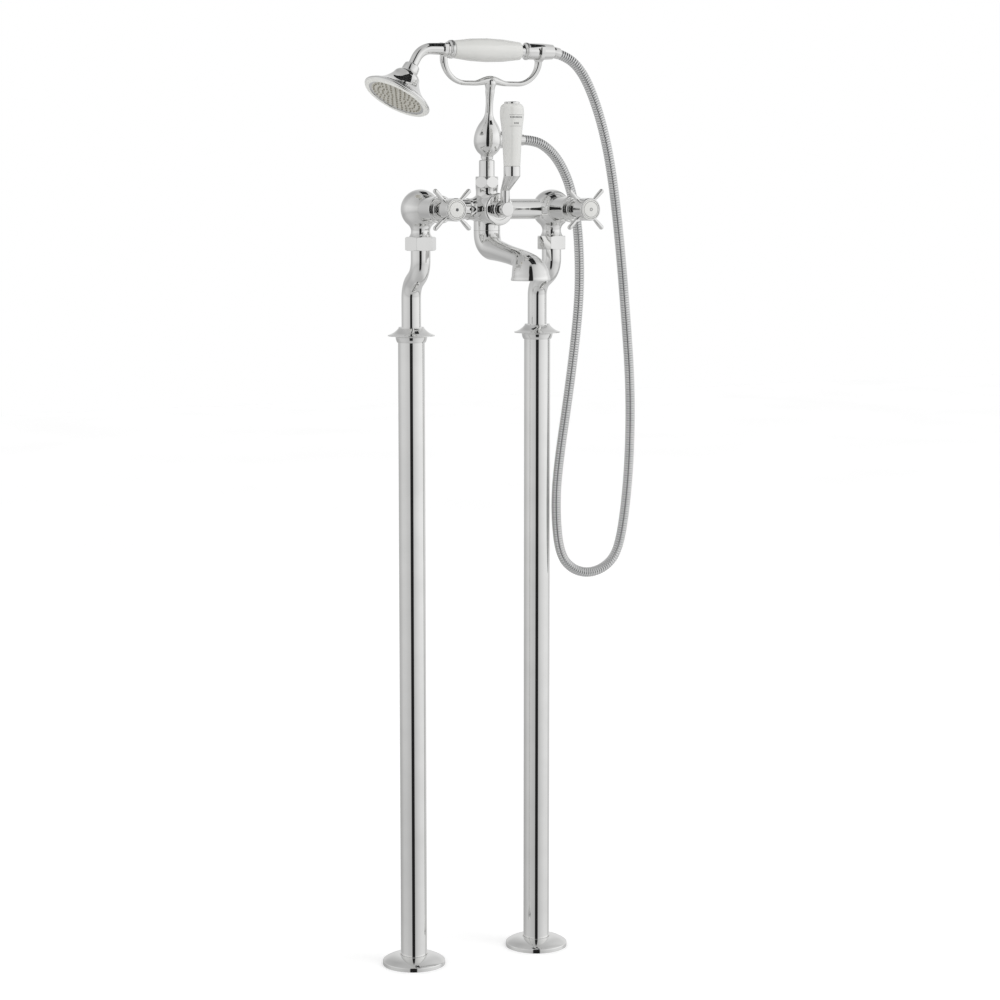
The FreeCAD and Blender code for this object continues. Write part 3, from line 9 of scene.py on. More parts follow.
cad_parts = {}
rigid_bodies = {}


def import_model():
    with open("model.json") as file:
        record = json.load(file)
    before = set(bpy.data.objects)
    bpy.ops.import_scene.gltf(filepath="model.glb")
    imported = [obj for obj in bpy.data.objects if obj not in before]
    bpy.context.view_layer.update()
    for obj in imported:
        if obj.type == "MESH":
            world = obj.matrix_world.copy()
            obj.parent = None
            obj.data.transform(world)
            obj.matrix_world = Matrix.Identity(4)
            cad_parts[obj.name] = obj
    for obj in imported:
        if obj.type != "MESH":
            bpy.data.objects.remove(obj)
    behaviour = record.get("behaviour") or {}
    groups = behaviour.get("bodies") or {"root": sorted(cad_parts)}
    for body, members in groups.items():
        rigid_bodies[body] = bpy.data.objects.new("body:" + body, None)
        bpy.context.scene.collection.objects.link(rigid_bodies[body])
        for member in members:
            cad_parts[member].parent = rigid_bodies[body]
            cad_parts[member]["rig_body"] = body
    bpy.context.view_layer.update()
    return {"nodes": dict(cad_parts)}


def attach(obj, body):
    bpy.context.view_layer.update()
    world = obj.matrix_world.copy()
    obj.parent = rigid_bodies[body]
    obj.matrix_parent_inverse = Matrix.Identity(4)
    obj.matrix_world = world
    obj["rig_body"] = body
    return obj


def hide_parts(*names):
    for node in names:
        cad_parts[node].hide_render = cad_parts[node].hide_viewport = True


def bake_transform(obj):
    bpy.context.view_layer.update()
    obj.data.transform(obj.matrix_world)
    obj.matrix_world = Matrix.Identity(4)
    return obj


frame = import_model()
print("frame loaded with", len(frame["nodes"]), "nodes")

mm = 0.001
weld = 0.01 * mm  # points nearer than this become one
fit = 0.05  # mm of play round what fits in a bore
arcStep = radians(5)
bevelFrom = radians(32)
sharpFrom = radians(40)
sides = {"left": ("hot", -1), "right": ("cold", 1)}

# where the pieces sit, in mm, with +Z up and the spout towards -Y
stance = dict(
    legX=87.5, valveX=90.0, valveY=-33.0, valveZ=950.0, riserTop=1010.0,
    lean=radians(6),
    axisHeight=132.0,  # riser top to the handset's axis
)

# the camera, in metres and degrees, fitted to the photograph
camera = dict(
    place=(-1.3976, -2.8114, 0.9707), heading=-27.0, pitch=-6.97, lens=90.67,
    sensor=36.0, farthest=60.0,
)


def addObject(name, data):
    item = bpy.data.objects.new(name, data)
    bpy.context.scene.collection.objects.link(item)
    return item


def makeCamera(size):
    data = bpy.data.cameras.new("camera")
    data.lens = size["lens"]
    data.sensor_width = size["sensor"]
    data.clip_end = size["farthest"]
    shot = addObject("camera", data)
    shot.location = size["place"]
    shot.rotation_euler = (radians(90 + size["pitch"]), 0, radians(size["heading"]))
    bpy.context.scene.camera = shot


makeCamera(camera)
print("camera set")


# Several sizes at once, by their names.
def pick(size, names):
    return [size[name] for name in names.split()]


def moved(x=0.0, y=0.0, z=0.0):
    return Matrix.Translation((x * mm, y * mm, z * mm))


def turned(angle, axis):
    return Matrix.Rotation(angle, 4, axis)


forward = turned(pi / 2, "X")  # a lathe's +Z to the front, -Y
sideways = turned(pi / 2, "Y")  # a lathe's +Z to the cold side, +X
mixer = moved(0, stance["valveY"], stance["valveZ"])
cradleFrame = moved(0, stance["valveY"], stance["riserTop"]) @ turned(stance["lean"], "X")
handsetFrame = cradleFrame @ moved(z=stance["axisHeight"])


def legSpot(way):
    return moved(stance["legX"] * way)


def valveSpot(way):
    return mixer @ moved(stance["valveX"] * way)


# Corners are (u, v) in mm. A third number is the radius of the arc to the next corner,
# which turns left, or right where it is negative.
def traced(corners):
    points = []
    for corner, following in zip(corners, corners[1:] + corners[:1]):
        here, there = Vector(corner[:2]), Vector(following[:2])
        points.append(here)
        if len(corner) < 3:
            continue
        half = (there - here) / 2
        radius = abs(corner[2])
        way = 1 if corner[2] > 0 else -1
        across = Vector((-half.y, half.x)).normalized() * way
        centre = here + half + across * sqrt(max(radius**2 - half.length_squared, 0))
        sweep = 2 * asin(min(half.length / radius, 1))
        steps = max(3, ceil(sweep / arcStep))
        for step in range(1, steps):
            points.append(centre + Matrix.Rotation(way * sweep * step / steps, 2) @ (here - centre))
    return points


# The section of a plain ring or tube.
def section(bore, radius, low, high):
    return [(bore, low), (radius, low), (radius, high), (bore, high)]


def finished(bm, place=Matrix()):
    bmesh.ops.remove_doubles(bm, verts=bm.verts, dist=weld)
    bmesh.ops.recalc_face_normals(bm, faces=bm.faces)
    bmesh.ops.transform(bm, matrix=place, verts=bm.verts)
    return bm


def lathe(corners, place, steps=96):
    bm = bmesh.new()
    verts = [bm.verts.new((u * mm, 0, v * mm)) for u, v in traced(corners)]
    edges = [bm.edges.new((a, b)) for a, b in zip(verts, verts[1:] + verts[:1])]
    bmesh.ops.spin(bm, geom=verts + edges, cent=(0, 0, 0), axis=(0, 0, 1),
                   angle=tau, steps=steps, use_merge=True)
    return finished(bm, place)


# A path of straight runs with a round bend at each inner corner, in mm.
def bentPath(corners, bends):
    corners = [Vector(corner) for corner in corners]
    points = [corners[0]]
    for before, corner, after, radius in zip(corners, corners[1:], corners[2:], bends):
        into = (corner - before).normalized()
        out = (after - corner).normalized()
        angle = into.angle(out)
        start = corner - into * radius * tan(angle / 2)
        centre = start + (out - into * cos(angle)).normalized() * radius
        spin = into.cross(out).normalized()
        steps = max(3, ceil(angle / arcStep))
        for step in range(steps + 1):
            points.append(centre + Matrix.Rotation(angle * step / steps, 3, spin) @ (start - centre))
    points.append(corners[-1])
    return points


# One frame for each point of a path, whose +Z follows the path without twisting.
def framesAlong(points):
    ways = []
    for low, high in zip(points[:1] + points, points[1:] + points[-1:]):
        ways.append((high - low).normalized())
    spin = Vector((0, 0, 1)).rotation_difference(ways[0])
    frames = []
    for number, way in enumerate(ways):
        if number:
            spin = ways[number - 1].rotation_difference(way) @ spin
        frames.append(Matrix.Translation(points[number] * mm) @ spin.to_matrix().to_4x4())
    return frames


# A tube of rings, one on each frame. It is a grid rolled up; where it turns back on the same
# frames it becomes its own inner wall.
def ringed(frames, radii, segments, place=Matrix(), capped=True):
    bm = bmesh.new()
    rows = len(frames) - 1
    bmesh.ops.create_grid(bm, x_segments=rows, y_segments=segments, size=1)
    for vert in bm.verts:
        row = round((vert.co.x + 1) / 2 * rows)
        angle = (vert.co.y + 1) * pi
        reach = radii[row] * mm
        vert.co = frames[row] @ Vector((reach * cos(angle), reach * sin(angle), 0))
    bmesh.ops.remove_doubles(bm, verts=bm.verts, dist=weld / 10)
    if capped:
        bmesh.ops.edgeloop_fill(bm, edges=[edge for edge in bm.edges if edge.is_boundary])
    bmesh.ops.recalc_face_normals(bm, faces=bm.faces)
    bmesh.ops.transform(bm, matrix=place, verts=bm.verts)
    return bm


def hollow(frames, radii, bores, segments, place):
    there, back = frames, frames[::-1]
    walls = radii + bores[::-1] + radii[:1]
    return finished(ringed(there + back + there[:1], walls, segments, place, capped=False))


# A flat outline pushed out to a slab, centred on its own plane.
def slab(corners, thickness, place):
    bm = bmesh.new()
    face = bm.faces.new([bm.verts.new((u * mm, v * mm, -thickness / 2 * mm)) for u, v in traced(corners)])
    made = bmesh.ops.extrude_face_region(bm, geom=[face])["geom"]
    top = [item for item in made if isinstance(item, bmesh.types.BMVert)]
    bmesh.ops.translate(bm, vec=(0, 0, thickness * mm), verts=top)
    return finished(bm, place)


def asMesh(name, parts):
    mesh = bpy.data.meshes.new(name)
    whole = bmesh.new()
    for part in parts:
        part.to_mesh(mesh)
        whole.from_mesh(mesh)
        part.free()
    whole.to_mesh(mesh)
    whole.free()
    return mesh


# A piece stands for the solid of its own name, written with underscores, unless a node is given.
def piece(name, parts, material, edge=0.3, node=None):
    mesh = asMesh(name, parts)
    mesh.shade_smooth()
    mesh.materials.append(material)
    item = addObject(name, mesh)
    if edge:
        bevel = item.modifiers.new("edges", "BEVEL")
        bevel.width = edge * mm
        bevel.segments = 2
        bevel.limit_method = "ANGLE"
        bevel.angle_limit = bevelFrom
        bevel.harden_normals = True
    else:
        mesh.set_sharp_from_angle(angle=sharpFrom)
    node = node or "".join("_" + letter.lower() if letter.isupper() else letter for letter in name)
    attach(item, frame["nodes"][node]["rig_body"])
    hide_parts(node)
    return item


def linear(colour):
    channels = [int(colour[place:place + 2], 16) / 255 for place in (1, 3, 5)]
    bright = [c / 12.92 if c <= 0.04045 else ((c + 0.055) / 1.055) ** 2.4 for c in channels]
    return (*bright, 1.0)


# Settings are the node's own properties or its inputs, with _ for a space.
def addNode(tree, kind, **settings):
    node = tree.nodes.new("ShaderNode" + kind)
    for name, value in settings.items():
        if hasattr(node, name):
            setattr(node, name, value)
        else:
            node.inputs[name.replace("_", " ")].default_value = value
    return node


def newMaterial(name, **settings):
    material = bpy.data.materials.new(name)
    material.use_nodes = True
    tree = material.node_tree
    tree.nodes.clear()
    shader = addNode(tree, "BsdfPrincipled", **settings)
    tree.links.new(shader.outputs["BSDF"], addNode(tree, "OutputMaterial").inputs["Surface"])
    return material, tree, shader


# Adds a node, feeds its inputs and gives back one of its outputs.
def fed(tree, kind, feeds, output=0, **settings):
    node = addNode(tree, kind, **settings)
    for socket, source in feeds.items():
        tree.links.new(source, node.inputs[socket])
    return node.outputs[output]


# A cloud with patches of about so many mm.
def noise(tree, patch, detail):
    place = addNode(tree, "TexCoord").outputs["Object"]
    return fed(tree, "TexNoise", {"Vector": place}, "Fac", Scale=1000 / patch, Detail=detail)


# Two colours mixed by a cloud, so that no surface is one flat colour.
def tint(tree, shader, factor, low, high):
    ramp = addNode(tree, "ValToRGB")
    for stop, position, colour in zip(ramp.color_ramp.elements, (0.35, 0.65), (low, high)):
        stop.position = position
        stop.color = linear(colour)
    tree.links.new(factor, ramp.inputs["Fac"])
    tree.links.new(ramp.outputs["Color"], shader.inputs["Base Color"])


def gloss(tree, shader, factor, low, high):
    spread = fed(tree, "MapRange", {"Value": factor}, To_Min=low, To_Max=high)
    tree.links.new(spread, shader.inputs["Roughness"])


def ripple(tree, shader, factor, strength, distance):
    bump = fed(tree, "Bump", {"Height": factor}, Strength=strength, Distance=distance * mm)
    tree.links.new(bump, shader.inputs["Normal"])


# chrome plate on polished metal: haze in patches as wide as a hand's touch, and the buffing
# wheel's shallow waves
def makeChrome(name, low, high, sheen, waves):
    material, tree, shader = newMaterial(name, Metallic=1.0)
    haze = noise(tree, 38.5, 4)
    tint(tree, shader, haze, low, high)
    gloss(tree, shader, haze, *sheen)
    ripple(tree, shader, noise(tree, 14.3, 2), waves, 0.4)
    return material


# an off-white fired body under a clear glaze, which lies in slow waves as it ran in the kiln
def makeCeramic():
    material, tree, shader = newMaterial(
        "glazedWhiteCeramic", IOR=1.5, Coat_Weight=1.0, Coat_Roughness=0.03)
    body = noise(tree, 55.6, 5)
    tint(tree, shader, body, "#D8D8D5", "#DDDDDA")
    gloss(tree, shader, body, 0.16, 0.24)
    ripple(tree, shader, noise(tree, 22.2, 2), 0.06, 0.5)
    return material


# Real grain is 0.05 to 0.5 mm, too fine to show, so it is drawn as coarse as the patch in mm.
def makeMatt(name, low, high, patch, rough, metallic=0.0, depth=0.2):
    material, tree, shader = newMaterial(name, Metallic=metallic)
    grain = noise(tree, patch, 6)
    tint(tree, shader, grain, low, high)
    gloss(tree, shader, grain, *rough)
    ripple(tree, shader, grain, 0.15, depth)
    return material


# cast and turned brass, buffed and plated: a neutral mirror with soft edges to its lights
chrome = makeChrome("polishedChrome", "#ECECEB", "#F2F2F1", (0.02, 0.05), 0.04)
# drawn tube needs less buffing, so its lights run straighter
tubeChrome = makeChrome("drawnTubeChrome", "#ECECEB", "#F2F2F1", (0.02, 0.04), 0.02)
# wound strip, not buffed: a little greyer, and each rib has a broader light
hoseSteel = makeChrome("woundStainlessSteel", "#E0E1E1", "#EAEAEA", (0.05, 0.12), 0.05)
ceramic = makeCeramic()
# blasted stainless plate: a warm pale grey without reflections
satin = makeMatt("satinRosePlate", "#D4D2C8", "#DEDCD3", 6.25, (0.28, 0.4), metallic=0.5)
# moulded silicone: darker than the plate, with a dull shine on each nub
silicone = makeMatt("clearGreySilicone", "#8F8B80", "#A6A297", 4.55, (0.35, 0.5))
# the rose's lower edge, satin chrome painted nearly white: a painted highlight of the open light on its down-facing
# faces
rim = makeMatt("satinRimPaintedHighlight", "#E6E6E2", "#EDEDE9", 11.1, (0.3, 0.4), depth=0.05)
# painted shade in the grooves: a dark grey core under the windings that makes the gaps between the ribs read
grooveShade = makeMatt("paintedGrooveShade", "#66686A", "#747678", 5.0, (0.5, 0.65))
# bare lathe-turned brass: warm yellow with broad lights
brass = makeMatt("turnedBrass", "#B08D4A", "#C9A55E", 11.1, (0.28, 0.4), metallic=1.0)
# lapped ceramic: even, milky and half matt
valveCeramic = makeMatt("lappedValveCeramic", "#E2E1DC", "#EDECE8", 8.3, (0.2, 0.3))
# pressed fibre washers: dull red-brown with a rough face
fibre = makeMatt("pressedRedFibre", "#6E2A1E", "#8A3A2B", 4.2, (0.7, 0.85), depth=0.4)
# ink fired into the glaze: flat dark grey
ink = makeMatt("firedGreyInk", "#4A4A4C", "#5C5C5E", 3.3, (0.4, 0.5), depth=0.02)
print("materials made:", len(bpy.data.materials))

# solids that stay as they are, inside the others, and what they are made of
inside = {
    brass: ["hot_cartridge", "cold_cartridge", "hot_spindle", "cold_spindle", "left_base_plate",
            "right_base_plate", "diverter_sleeve", "diverter_rotor"],
    valveCeramic: ["hot_fixed_disc", "cold_fixed_disc", "hot_turning_disc", "cold_turning_disc"],
    chrome: ["hot_handle_screw", "cold_handle_screw"],
    fibre: ["union_washers"],
}
for material, names in inside.items():
    for name in names:
        frame["nodes"][name].data.materials[0] = material

hose = dict(
    radius=6.2,
    crown=0.12,  # how far a rib is rounded at its two shoulders
    valley=4.7,
    core=5.35,  # a dark grey tube between the windings, which paints the shade in the grooves
    bore=4.2,
    pitch=3.1,  # from rib to rib
    segments=24,
    blendStart=(0.170, -0.04, 0.9830),  # where the hose begins to follow the lifted handset
    blendEnd=(0.2156, -0.04, 1.0742),
)
# the same points as the CAD route, in metres
hoseRoute = [
    (0.0440, -0.03556, 1.03437), (0.0645, -0.03556, 1.03437), (0.0860, -0.0330, 1.0240),
    (0.1050, -0.0290, 1.0055), (0.1220, -0.0240, 0.9760), (0.1355, -0.0180, 0.9300),
    (0.1405, -0.0150, 0.8680), (0.1375, -0.0150, 0.8120), (0.1260, -0.0150, 0.7250),
    (0.1085, -0.0150, 0.6180), (0.1065, -0.0150, 0.5620), (0.1127, -0.0150, 0.5126),
    (0.1309, -0.0150, 0.4917), (0.1578, -0.0150, 0.4850), (0.1837, -0.0160, 0.4949),
    (0.1983, -0.0170, 0.5166), (0.2065, -0.0190, 0.5700), (0.2105, -0.0220, 0.6400),
    (0.2085, -0.0260, 0.7250), (0.1990, -0.0300, 0.8120), (0.1875, -0.0340, 0.9050),
    (0.1733, -0.0380, 0.9935), (0.1575, -0.0420, 1.0515), (0.1380, -0.0450, 1.0977),
    (0.1200, -0.0468, 1.1242), (0.10012, -0.04642, 1.13766), (0.07987, -0.04687, 1.14194),
]


def smoothLine(name, route):
    curve = bpy.data.curves.new(name, "CURVE")
    curve.dimensions = "3D"
    curve.resolution_u = 16
    spline = curve.splines.new("NURBS")
    spline.points.add(len(route) - 1)
    for point, place in zip(spline.points, route):
        point.co = (*place, 1)
    spline.order_u = 3
    spline.use_endpoint_u = True
    line = addObject(name, curve)
    bpy.context.view_layer.update()
    mesh = bpy.data.meshes.new_from_object(line)
    points = [vert.co.copy() for vert in mesh.vertices]
    bpy.data.objects.remove(line)
    return points


def distancesAlong(points):
    lengths = [0.0]
    for a, b in zip(points, points[1:]):
        lengths.append(lengths[-1] + (b - a).length)
    return lengths


# Points at even steps along a line.
def evenly(points, spacing):
    lengths = distancesAlong(points)
    total = lengths[-1]
    count = round(total / spacing)
    even = []
    span = 0
    for number in range(count + 1):
        target = total * number / count
        while span < len(points) - 2 and lengths[span + 1] < target:
            span += 1
        share = (target - lengths[span]) / (lengths[span + 1] - lengths[span])
        even.append(points[span].lerp(points[span + 1], share))
    return even, total


def makeHose(size):
    radius, shoulder = size["radius"], size["radius"] - size["crown"]
    rib = (size["valley"], shoulder, radius, radius, shoulder)
    points, length = evenly(smoothLine("hoseLine", hoseRoute), size["pitch"] * mm / len(rib))
    frames = framesAlong([point / mm for point in points])
    coarse = frames[::len(rib)]
    tube = ringed(frames, [rib[number % len(rib)] for number in range(len(frames))], size["segments"], capped=False)
    # the core's dark grey is painted shade in the grooves between the ribs
    core = ringed(coarse, [size["core"]] * len(coarse), size["segments"], capped=False)
    for side in core.faces:
        side.material_index = 1
    mesh = asMesh("showerHose", [tube, core])
    mesh.shade_smooth()
    mesh.materials.append(hoseSteel)
    mesh.materials.append(grooveShade)
    item = addObject("showerHose", mesh)
    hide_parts("hose")
    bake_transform(item)
    print("hose made,", round(length, 3), "m")


makeHose(hose)

# in metres and degrees
studio = dict(
    floorSize=16.0,
    floorLow="#F2F2F2",
    floorHigh="#F6F6F6",
    floorPatch=500.0,
    lift=0.20,  # what the camera sees above the floor's own colour
    domeDiffuse=0.90, keyPower=18.0, keySize=1.6, keyPlace=(1.6, -1.9, 2.5),
    keyAim=(0, 0, 0.9),
    heading=27.0,  # from the camera's side to the front
    flagSize=(0.24, 0.58), flagPlace=(0.10, -0.04, 1.40),
)
# What a mirror sees of the studio, as (degrees, brightness). The first goes round from the
# camera's side by its right; the second goes from straight down to straight up.
around = [
    (0, 0.62), (15, 0.64), (40, 0.82), (75, 0.96), (110, 0.98), (132, 0.72), (145, 0.80), (165, 0.72),
    (180, 0.76), (192, 0.66), (210, 0.54), (240, 0.58), (270, 0.74), (300, 0.74), (340, 0.64),
]
upward = [
    (-90, 0.72), (-50, 0.80), (-25, 0.84), (-15, 0.78), (-8, 0.90), (0, 1.0), (12, 1.05), (25, 0.90),
    (50, 0.80), (90, 0.74),
]
# the dark gap between the two lamps, where the camera stands: how dark it is
gapAround = [(0, 1.0), (12.5, 1.0), (15, 0.0), (346, 0.0), (349, 1.0)]
gapUpward = [(-90, 0.0), (-46, 0.0), (-36, 0.97), (58, 0.97), (74, 0.0)]
# near straight up and down the wall of the studio fades into one even tone
wallShare = [(-90, 0.0), (-65, 0.0), (-45, 1.0), (50, 1.0), (72, 0.0)]
evenTone = 0.66


# Brightness by degrees, once round or from straight down to straight up.
def rampOf(tree, stops, source, circle):
    node = addNode(tree, "ValToRGB")
    ramp = node.color_ramp
    ramp.elements.remove(ramp.elements[-1])
    for number, (degrees, value) in enumerate(stops):
        place = degrees / 360 if circle else (degrees + 90) / 180
        stop = ramp.elements.new(place) if number else ramp.elements[0]
        stop.position = place
        stop.color = (value, value, value, 1)
    tree.links.new(source, node.inputs["Fac"])
    return node.outputs["Color"]


def times(tree, first, second):
    return fed(tree, "Math", {0: first, 1: second}, operation="MULTIPLY")


def makeWorld(size):
    world = bpy.data.worlds.new("studio")
    bpy.context.scene.world = world
    world.use_nodes = True
    tree = world.node_tree
    tree.nodes.clear()
    look = addNode(tree, "TexCoord").outputs["Generated"]
    turn = fed(tree, "Mapping", {"Vector": look}, Rotation=(0, 0, radians(size["heading"] - 90)))
    level = fed(tree, "TexGradient", {"Vector": turn}, "Fac", gradient_type="RADIAL")
    rise = fed(tree, "SeparateXYZ", {"Vector": look}, "Z")
    rise = fed(tree, "Math", {0: rise}, operation="ARCSINE")
    rise = fed(tree, "MapRange", {"Value": rise}, From_Min=-pi / 2, From_Max=pi / 2)
    shares = {"Factor": rampOf(tree, wallShare, rise, False), "B": rampOf(tree, around, level, True)}
    wall = fed(tree, "Mix", shares, "Result", data_type="FLOAT", A=evenTone)
    room = times(tree, wall, rampOf(tree, upward, rise, False))
    gap = times(tree, rampOf(tree, gapAround, level, True), rampOf(tree, gapUpward, rise, False))
    bright = fed(tree, "Math", {1: gap}, operation="SUBTRACT", Value=1.0)
    mirror = fed(tree, "Background", {"Strength": times(tree, room, bright)}, Color=(1, 1, 1, 1))
    dome, white = (addNode(tree, "Background", Color=(1, 1, 1, 1), Strength=strength).outputs[0]
                   for strength in (size["domeDiffuse"], 1.0))
    rays = addNode(tree, "LightPath").outputs
    seen = fed(tree, "MixShader", {"Fac": rays["Is Glossy Ray"], 1: dome, 2: mirror})
    seen = fed(tree, "MixShader", {"Fac": rays["Is Camera Ray"], 1: seen, 2: white})
    tree.links.new(seen, addNode(tree, "OutputWorld").inputs["Surface"])


def stageSheet(name, material, scale, place):
    bm = bmesh.new()
    bmesh.ops.create_grid(bm, x_segments=2, y_segments=2, size=0.5, matrix=Matrix.Diagonal((*scale, 1, 1)))
    bmesh.ops.translate(bm, verts=bm.verts, vec=place)
    sheet = addObject(name, asMesh(name, [bm]))
    sheet.data.materials.append(material)
    return sheet


# painted boards: a matt near-white whose tone wanders over half a metre
def makeFloor(size):
    material, tree, shader = newMaterial("palePaintedFloor", Roughness=0.9, Emission_Color=(1, 1, 1, 1))
    tint(tree, shader, noise(tree, size["floorPatch"], 4), size["floorLow"], size["floorHigh"])
    camera = addNode(tree, "LightPath").outputs["Is Camera Ray"]
    lift = fed(tree, "Math", {1: camera}, operation="MULTIPLY", Value=size["lift"])
    tree.links.new(lift, shader.inputs["Emission Strength"])
    floor = stageSheet("floor", material, (size["floorSize"],) * 2, (0, 0, 0))
    floor.visible_glossy = False  # the mirror's studio has its own floor


def makeKey(size):
    data = bpy.data.lights.new("keyLight", "AREA")
    data.energy = size["keyPower"]
    data.size = size["keySize"]
    key = addObject("keyLight", data)
    key.location = size["keyPlace"]
    aim = Vector(size["keyAim"]) - key.location
    key.rotation_euler = aim.to_track_quat("-Z", "Y").to_euler()
    key.visible_glossy = False


# black cloth over the handset, which only the mirrors see: it gives the chrome its dark lines
def makeFlag(size):
    material, tree, shader = newMaterial("blackFlagCloth", Roughness=0.9)
    tint(tree, shader, noise(tree, 3.3, 3), "#1B1C1D", "#252628")
    flag = stageSheet("blackFlag", material, size["flagSize"], size["flagPlace"])
    flag.visible_camera = flag.visible_diffuse = flag.visible_shadow = False


makeWorld(studio)
makeFloor(studio)
makeKey(studio)
makeFlag(studio)
bpy.context.scene.view_settings.view_transform = "Standard"
print("studio set")

foot = dict(
    radius=39.5, rim=5.3, height=12.5, neck=17.6,
    dome=34.0,  # the cover's curve in section
    bore=16.8, wall=1.6,
)
leg = dict(radius=16.5, wall=2.0, bottom=5.5, top=790.0)
collar = dict(
    cupBottom=787.0, skirt=17.4, cup=19.5, cupCurve=14.0, lip=29.2,
    lipHeight=795.0, lipThickness=1.1, top=806.1, neck=15.7, neckCurve=24.0,
)
riserPipe = dict(
    radius=12.0, bore=10.0, lowCorner=856.0, highCorner=875.0, bend=24.0,
    flange=14.85, flangeBottom=902.8, top=906.3, setback=33.0,
)
unionNut = dict(
    flats=34.0, bottom=900.1, height=16.8, bore=15.05, chamfer=1.3,
    lipBore=12.3, lip=2.7, turn={"left": radians(-9.5), "right": 0.0},
)


def makeFoot(side, way):
    radius, rim, height, neck, dome, bore, wall = pick(foot, "radius rim height neck dome bore wall")
    corners = [
        (radius - wall, 0), (radius, 0), (radius, rim - 1.2, 1.6), (radius - 0.6, rim, dome),
        (neck + 0.4, height - 0.5, 0.8), (neck, height), (bore, height), (bore, height - wall, -dome),
        (radius - 2.2, rim - wall),
    ]
    piece(f"{side}FloorFlange", [lathe(corners, legSpot(way))], chrome, edge=0.25)


def makeLeg(side, way):
    corners = section(leg["radius"] - leg["wall"], leg["radius"], leg["bottom"], leg["top"])
    piece(f"{side}LegTube", [lathe(corners, legSpot(way))], tubeChrome)


def makeCollar(side, way):
    size = collar
    cup, bottom, lip, level, neck, top = pick(size, "cup cupBottom lip lipHeight neck top")
    bore, pipeBore = leg["radius"] + fit, riserPipe["radius"] + fit
    corners = [
        (bore, bottom), (size["skirt"], bottom, size["cupCurve"]), (cup, level - 1.4, -3),
        (cup + 1.6, level - 0.5), (lip - 0.5, level, 0.7),
        (lip - 0.4, level + size["lipThickness"], -size["neckCurve"]), (neck, top - 1.2), (neck, top),
        (pipeBore, top), (pipeBore, leg["top"]), (bore, leg["top"]),
    ]
    piece(f"{side}LegCollar", [lathe(corners, legSpot(way))], chrome, edge=0.35)


def makeRiserPipe(side, way):
    size = riserPipe
    shift = stance["valveX"] - stance["legX"]
    reach = hypot(size["setback"], shift)
    place = legSpot(way) @ turned(atan2(shift, size["setback"]) * way, "Z")
    frames = framesAlong(bentPath(
        [(0, 0, 0), (0, 0, size["lowCorner"]), (0, -reach, size["highCorner"]), (0, -reach, size["top"])],
        [size["bend"]] * 2))
    count = len(frames)
    tube = hollow(frames, [size["radius"]] * count, [size["bore"]] * count, 64, place)
    ring = section(size["bore"], size["flange"], size["flangeBottom"], size["top"])
    piece(f"{side}RiserPipe", [tube, lathe(ring, place @ moved(y=-reach))], tubeChrome, edge=0.2)


# A hexagon nut: a round ring pulled out to the flats, with the chamfer's height set by its reach.
def hexNut(flats, height, bore, chamfer, place, lipBore=None, lip=0.0):
    bm = bmesh.new()
    apothem = flats / 2
    reach = apothem * 2 / sqrt(3) - apothem
    circle = bmesh.ops.create_circle(bm, segments=96, radius=bore * mm)
    edges = list(bm.edges)
    rounds = {"bore": bore, "lip": lipBore or bore, "face": apothem - 0.35}

    def fitRing(ring, kind, level):
        for vert in ring:
            angle = atan2(vert.co.y, vert.co.x)
            flat = (angle + pi / 6) % (pi / 3) - pi / 6
            hexRadius = apothem / cos(flat)
            radius = rounds.get(kind, hexRadius)
            drop = chamfer * (hexRadius - apothem) / reach if kind == "hex" else 0
            z = level + drop if level < height / 2 else level - drop
            vert.co = (radius * mm * cos(angle), radius * mm * sin(angle), z * mm)

    fitRing(circle["verts"], "bore", lip)
    rings = [("lip", lip), ("lip", 0), ("face", 0), ("hex", 0), ("hex", height), ("face", height),
             ("bore", height), ("bore", lip)]
    for kind, level in rings:
        made = bmesh.ops.extrude_edge_only(bm, edges=edges)["geom"]
        ring = [item for item in made if isinstance(item, bmesh.types.BMVert)]
        edges = [item for item in made if isinstance(item, bmesh.types.BMEdge)
                 and all(vert in ring for vert in item.verts)]
        fitRing(ring, kind, level)
    return finished(bm, place @ turned(pi / 6, "Z"))


def makeUnionNut(side, way):
    size = unionNut
    place = moved(stance["valveX"] * way, stance["valveY"], size["bottom"]) @ turned(size["turn"][side], "Z")
    nut = hexNut(size["flats"], size["height"], size["bore"], size["chamfer"], place, size["lipBore"], size["lip"])
    piece(f"{side}UnionNut", [nut], chrome, edge=0.25)


for side, (water, way) in sides.items():
    makeFoot(side, way)
    makeLeg(side, way)
    makeCollar(side, way)
    makeRiserPipe(side, way)
    makeUnionNut(side, way)
print("legs and riser pipes made")

valve = dict(
    ball=24.0, neck=11.6, neckCurve=10.0, tail=14.85, tailBottom=-41.7,
    skirt=-33.1, barrel=16.6, barrelLip=1.0, length=58.0, recess=14.6,
    recessDepth=6.0,
)
bridge = dict(radius=12.4, bore=10.4, start=17.0, end=76.0)
centre = dict(
    bore=9.0, column=16.3, drop=26.0, top=14.0, shoulder=4.0,
    shoulderTop=15.0, shoulderCurve=26.0, rise=25.7, spigot=11.5,
    spigotHeight=7.0, armRoot=17.0, armFlare=13.4, armCurve=16.0, armEnd=13.4,
    armReach=27.0, boss=19.8, bossLength=35.0, bossRound=3.0, bossBore=13.05,
    bossRecess=4.0,
)


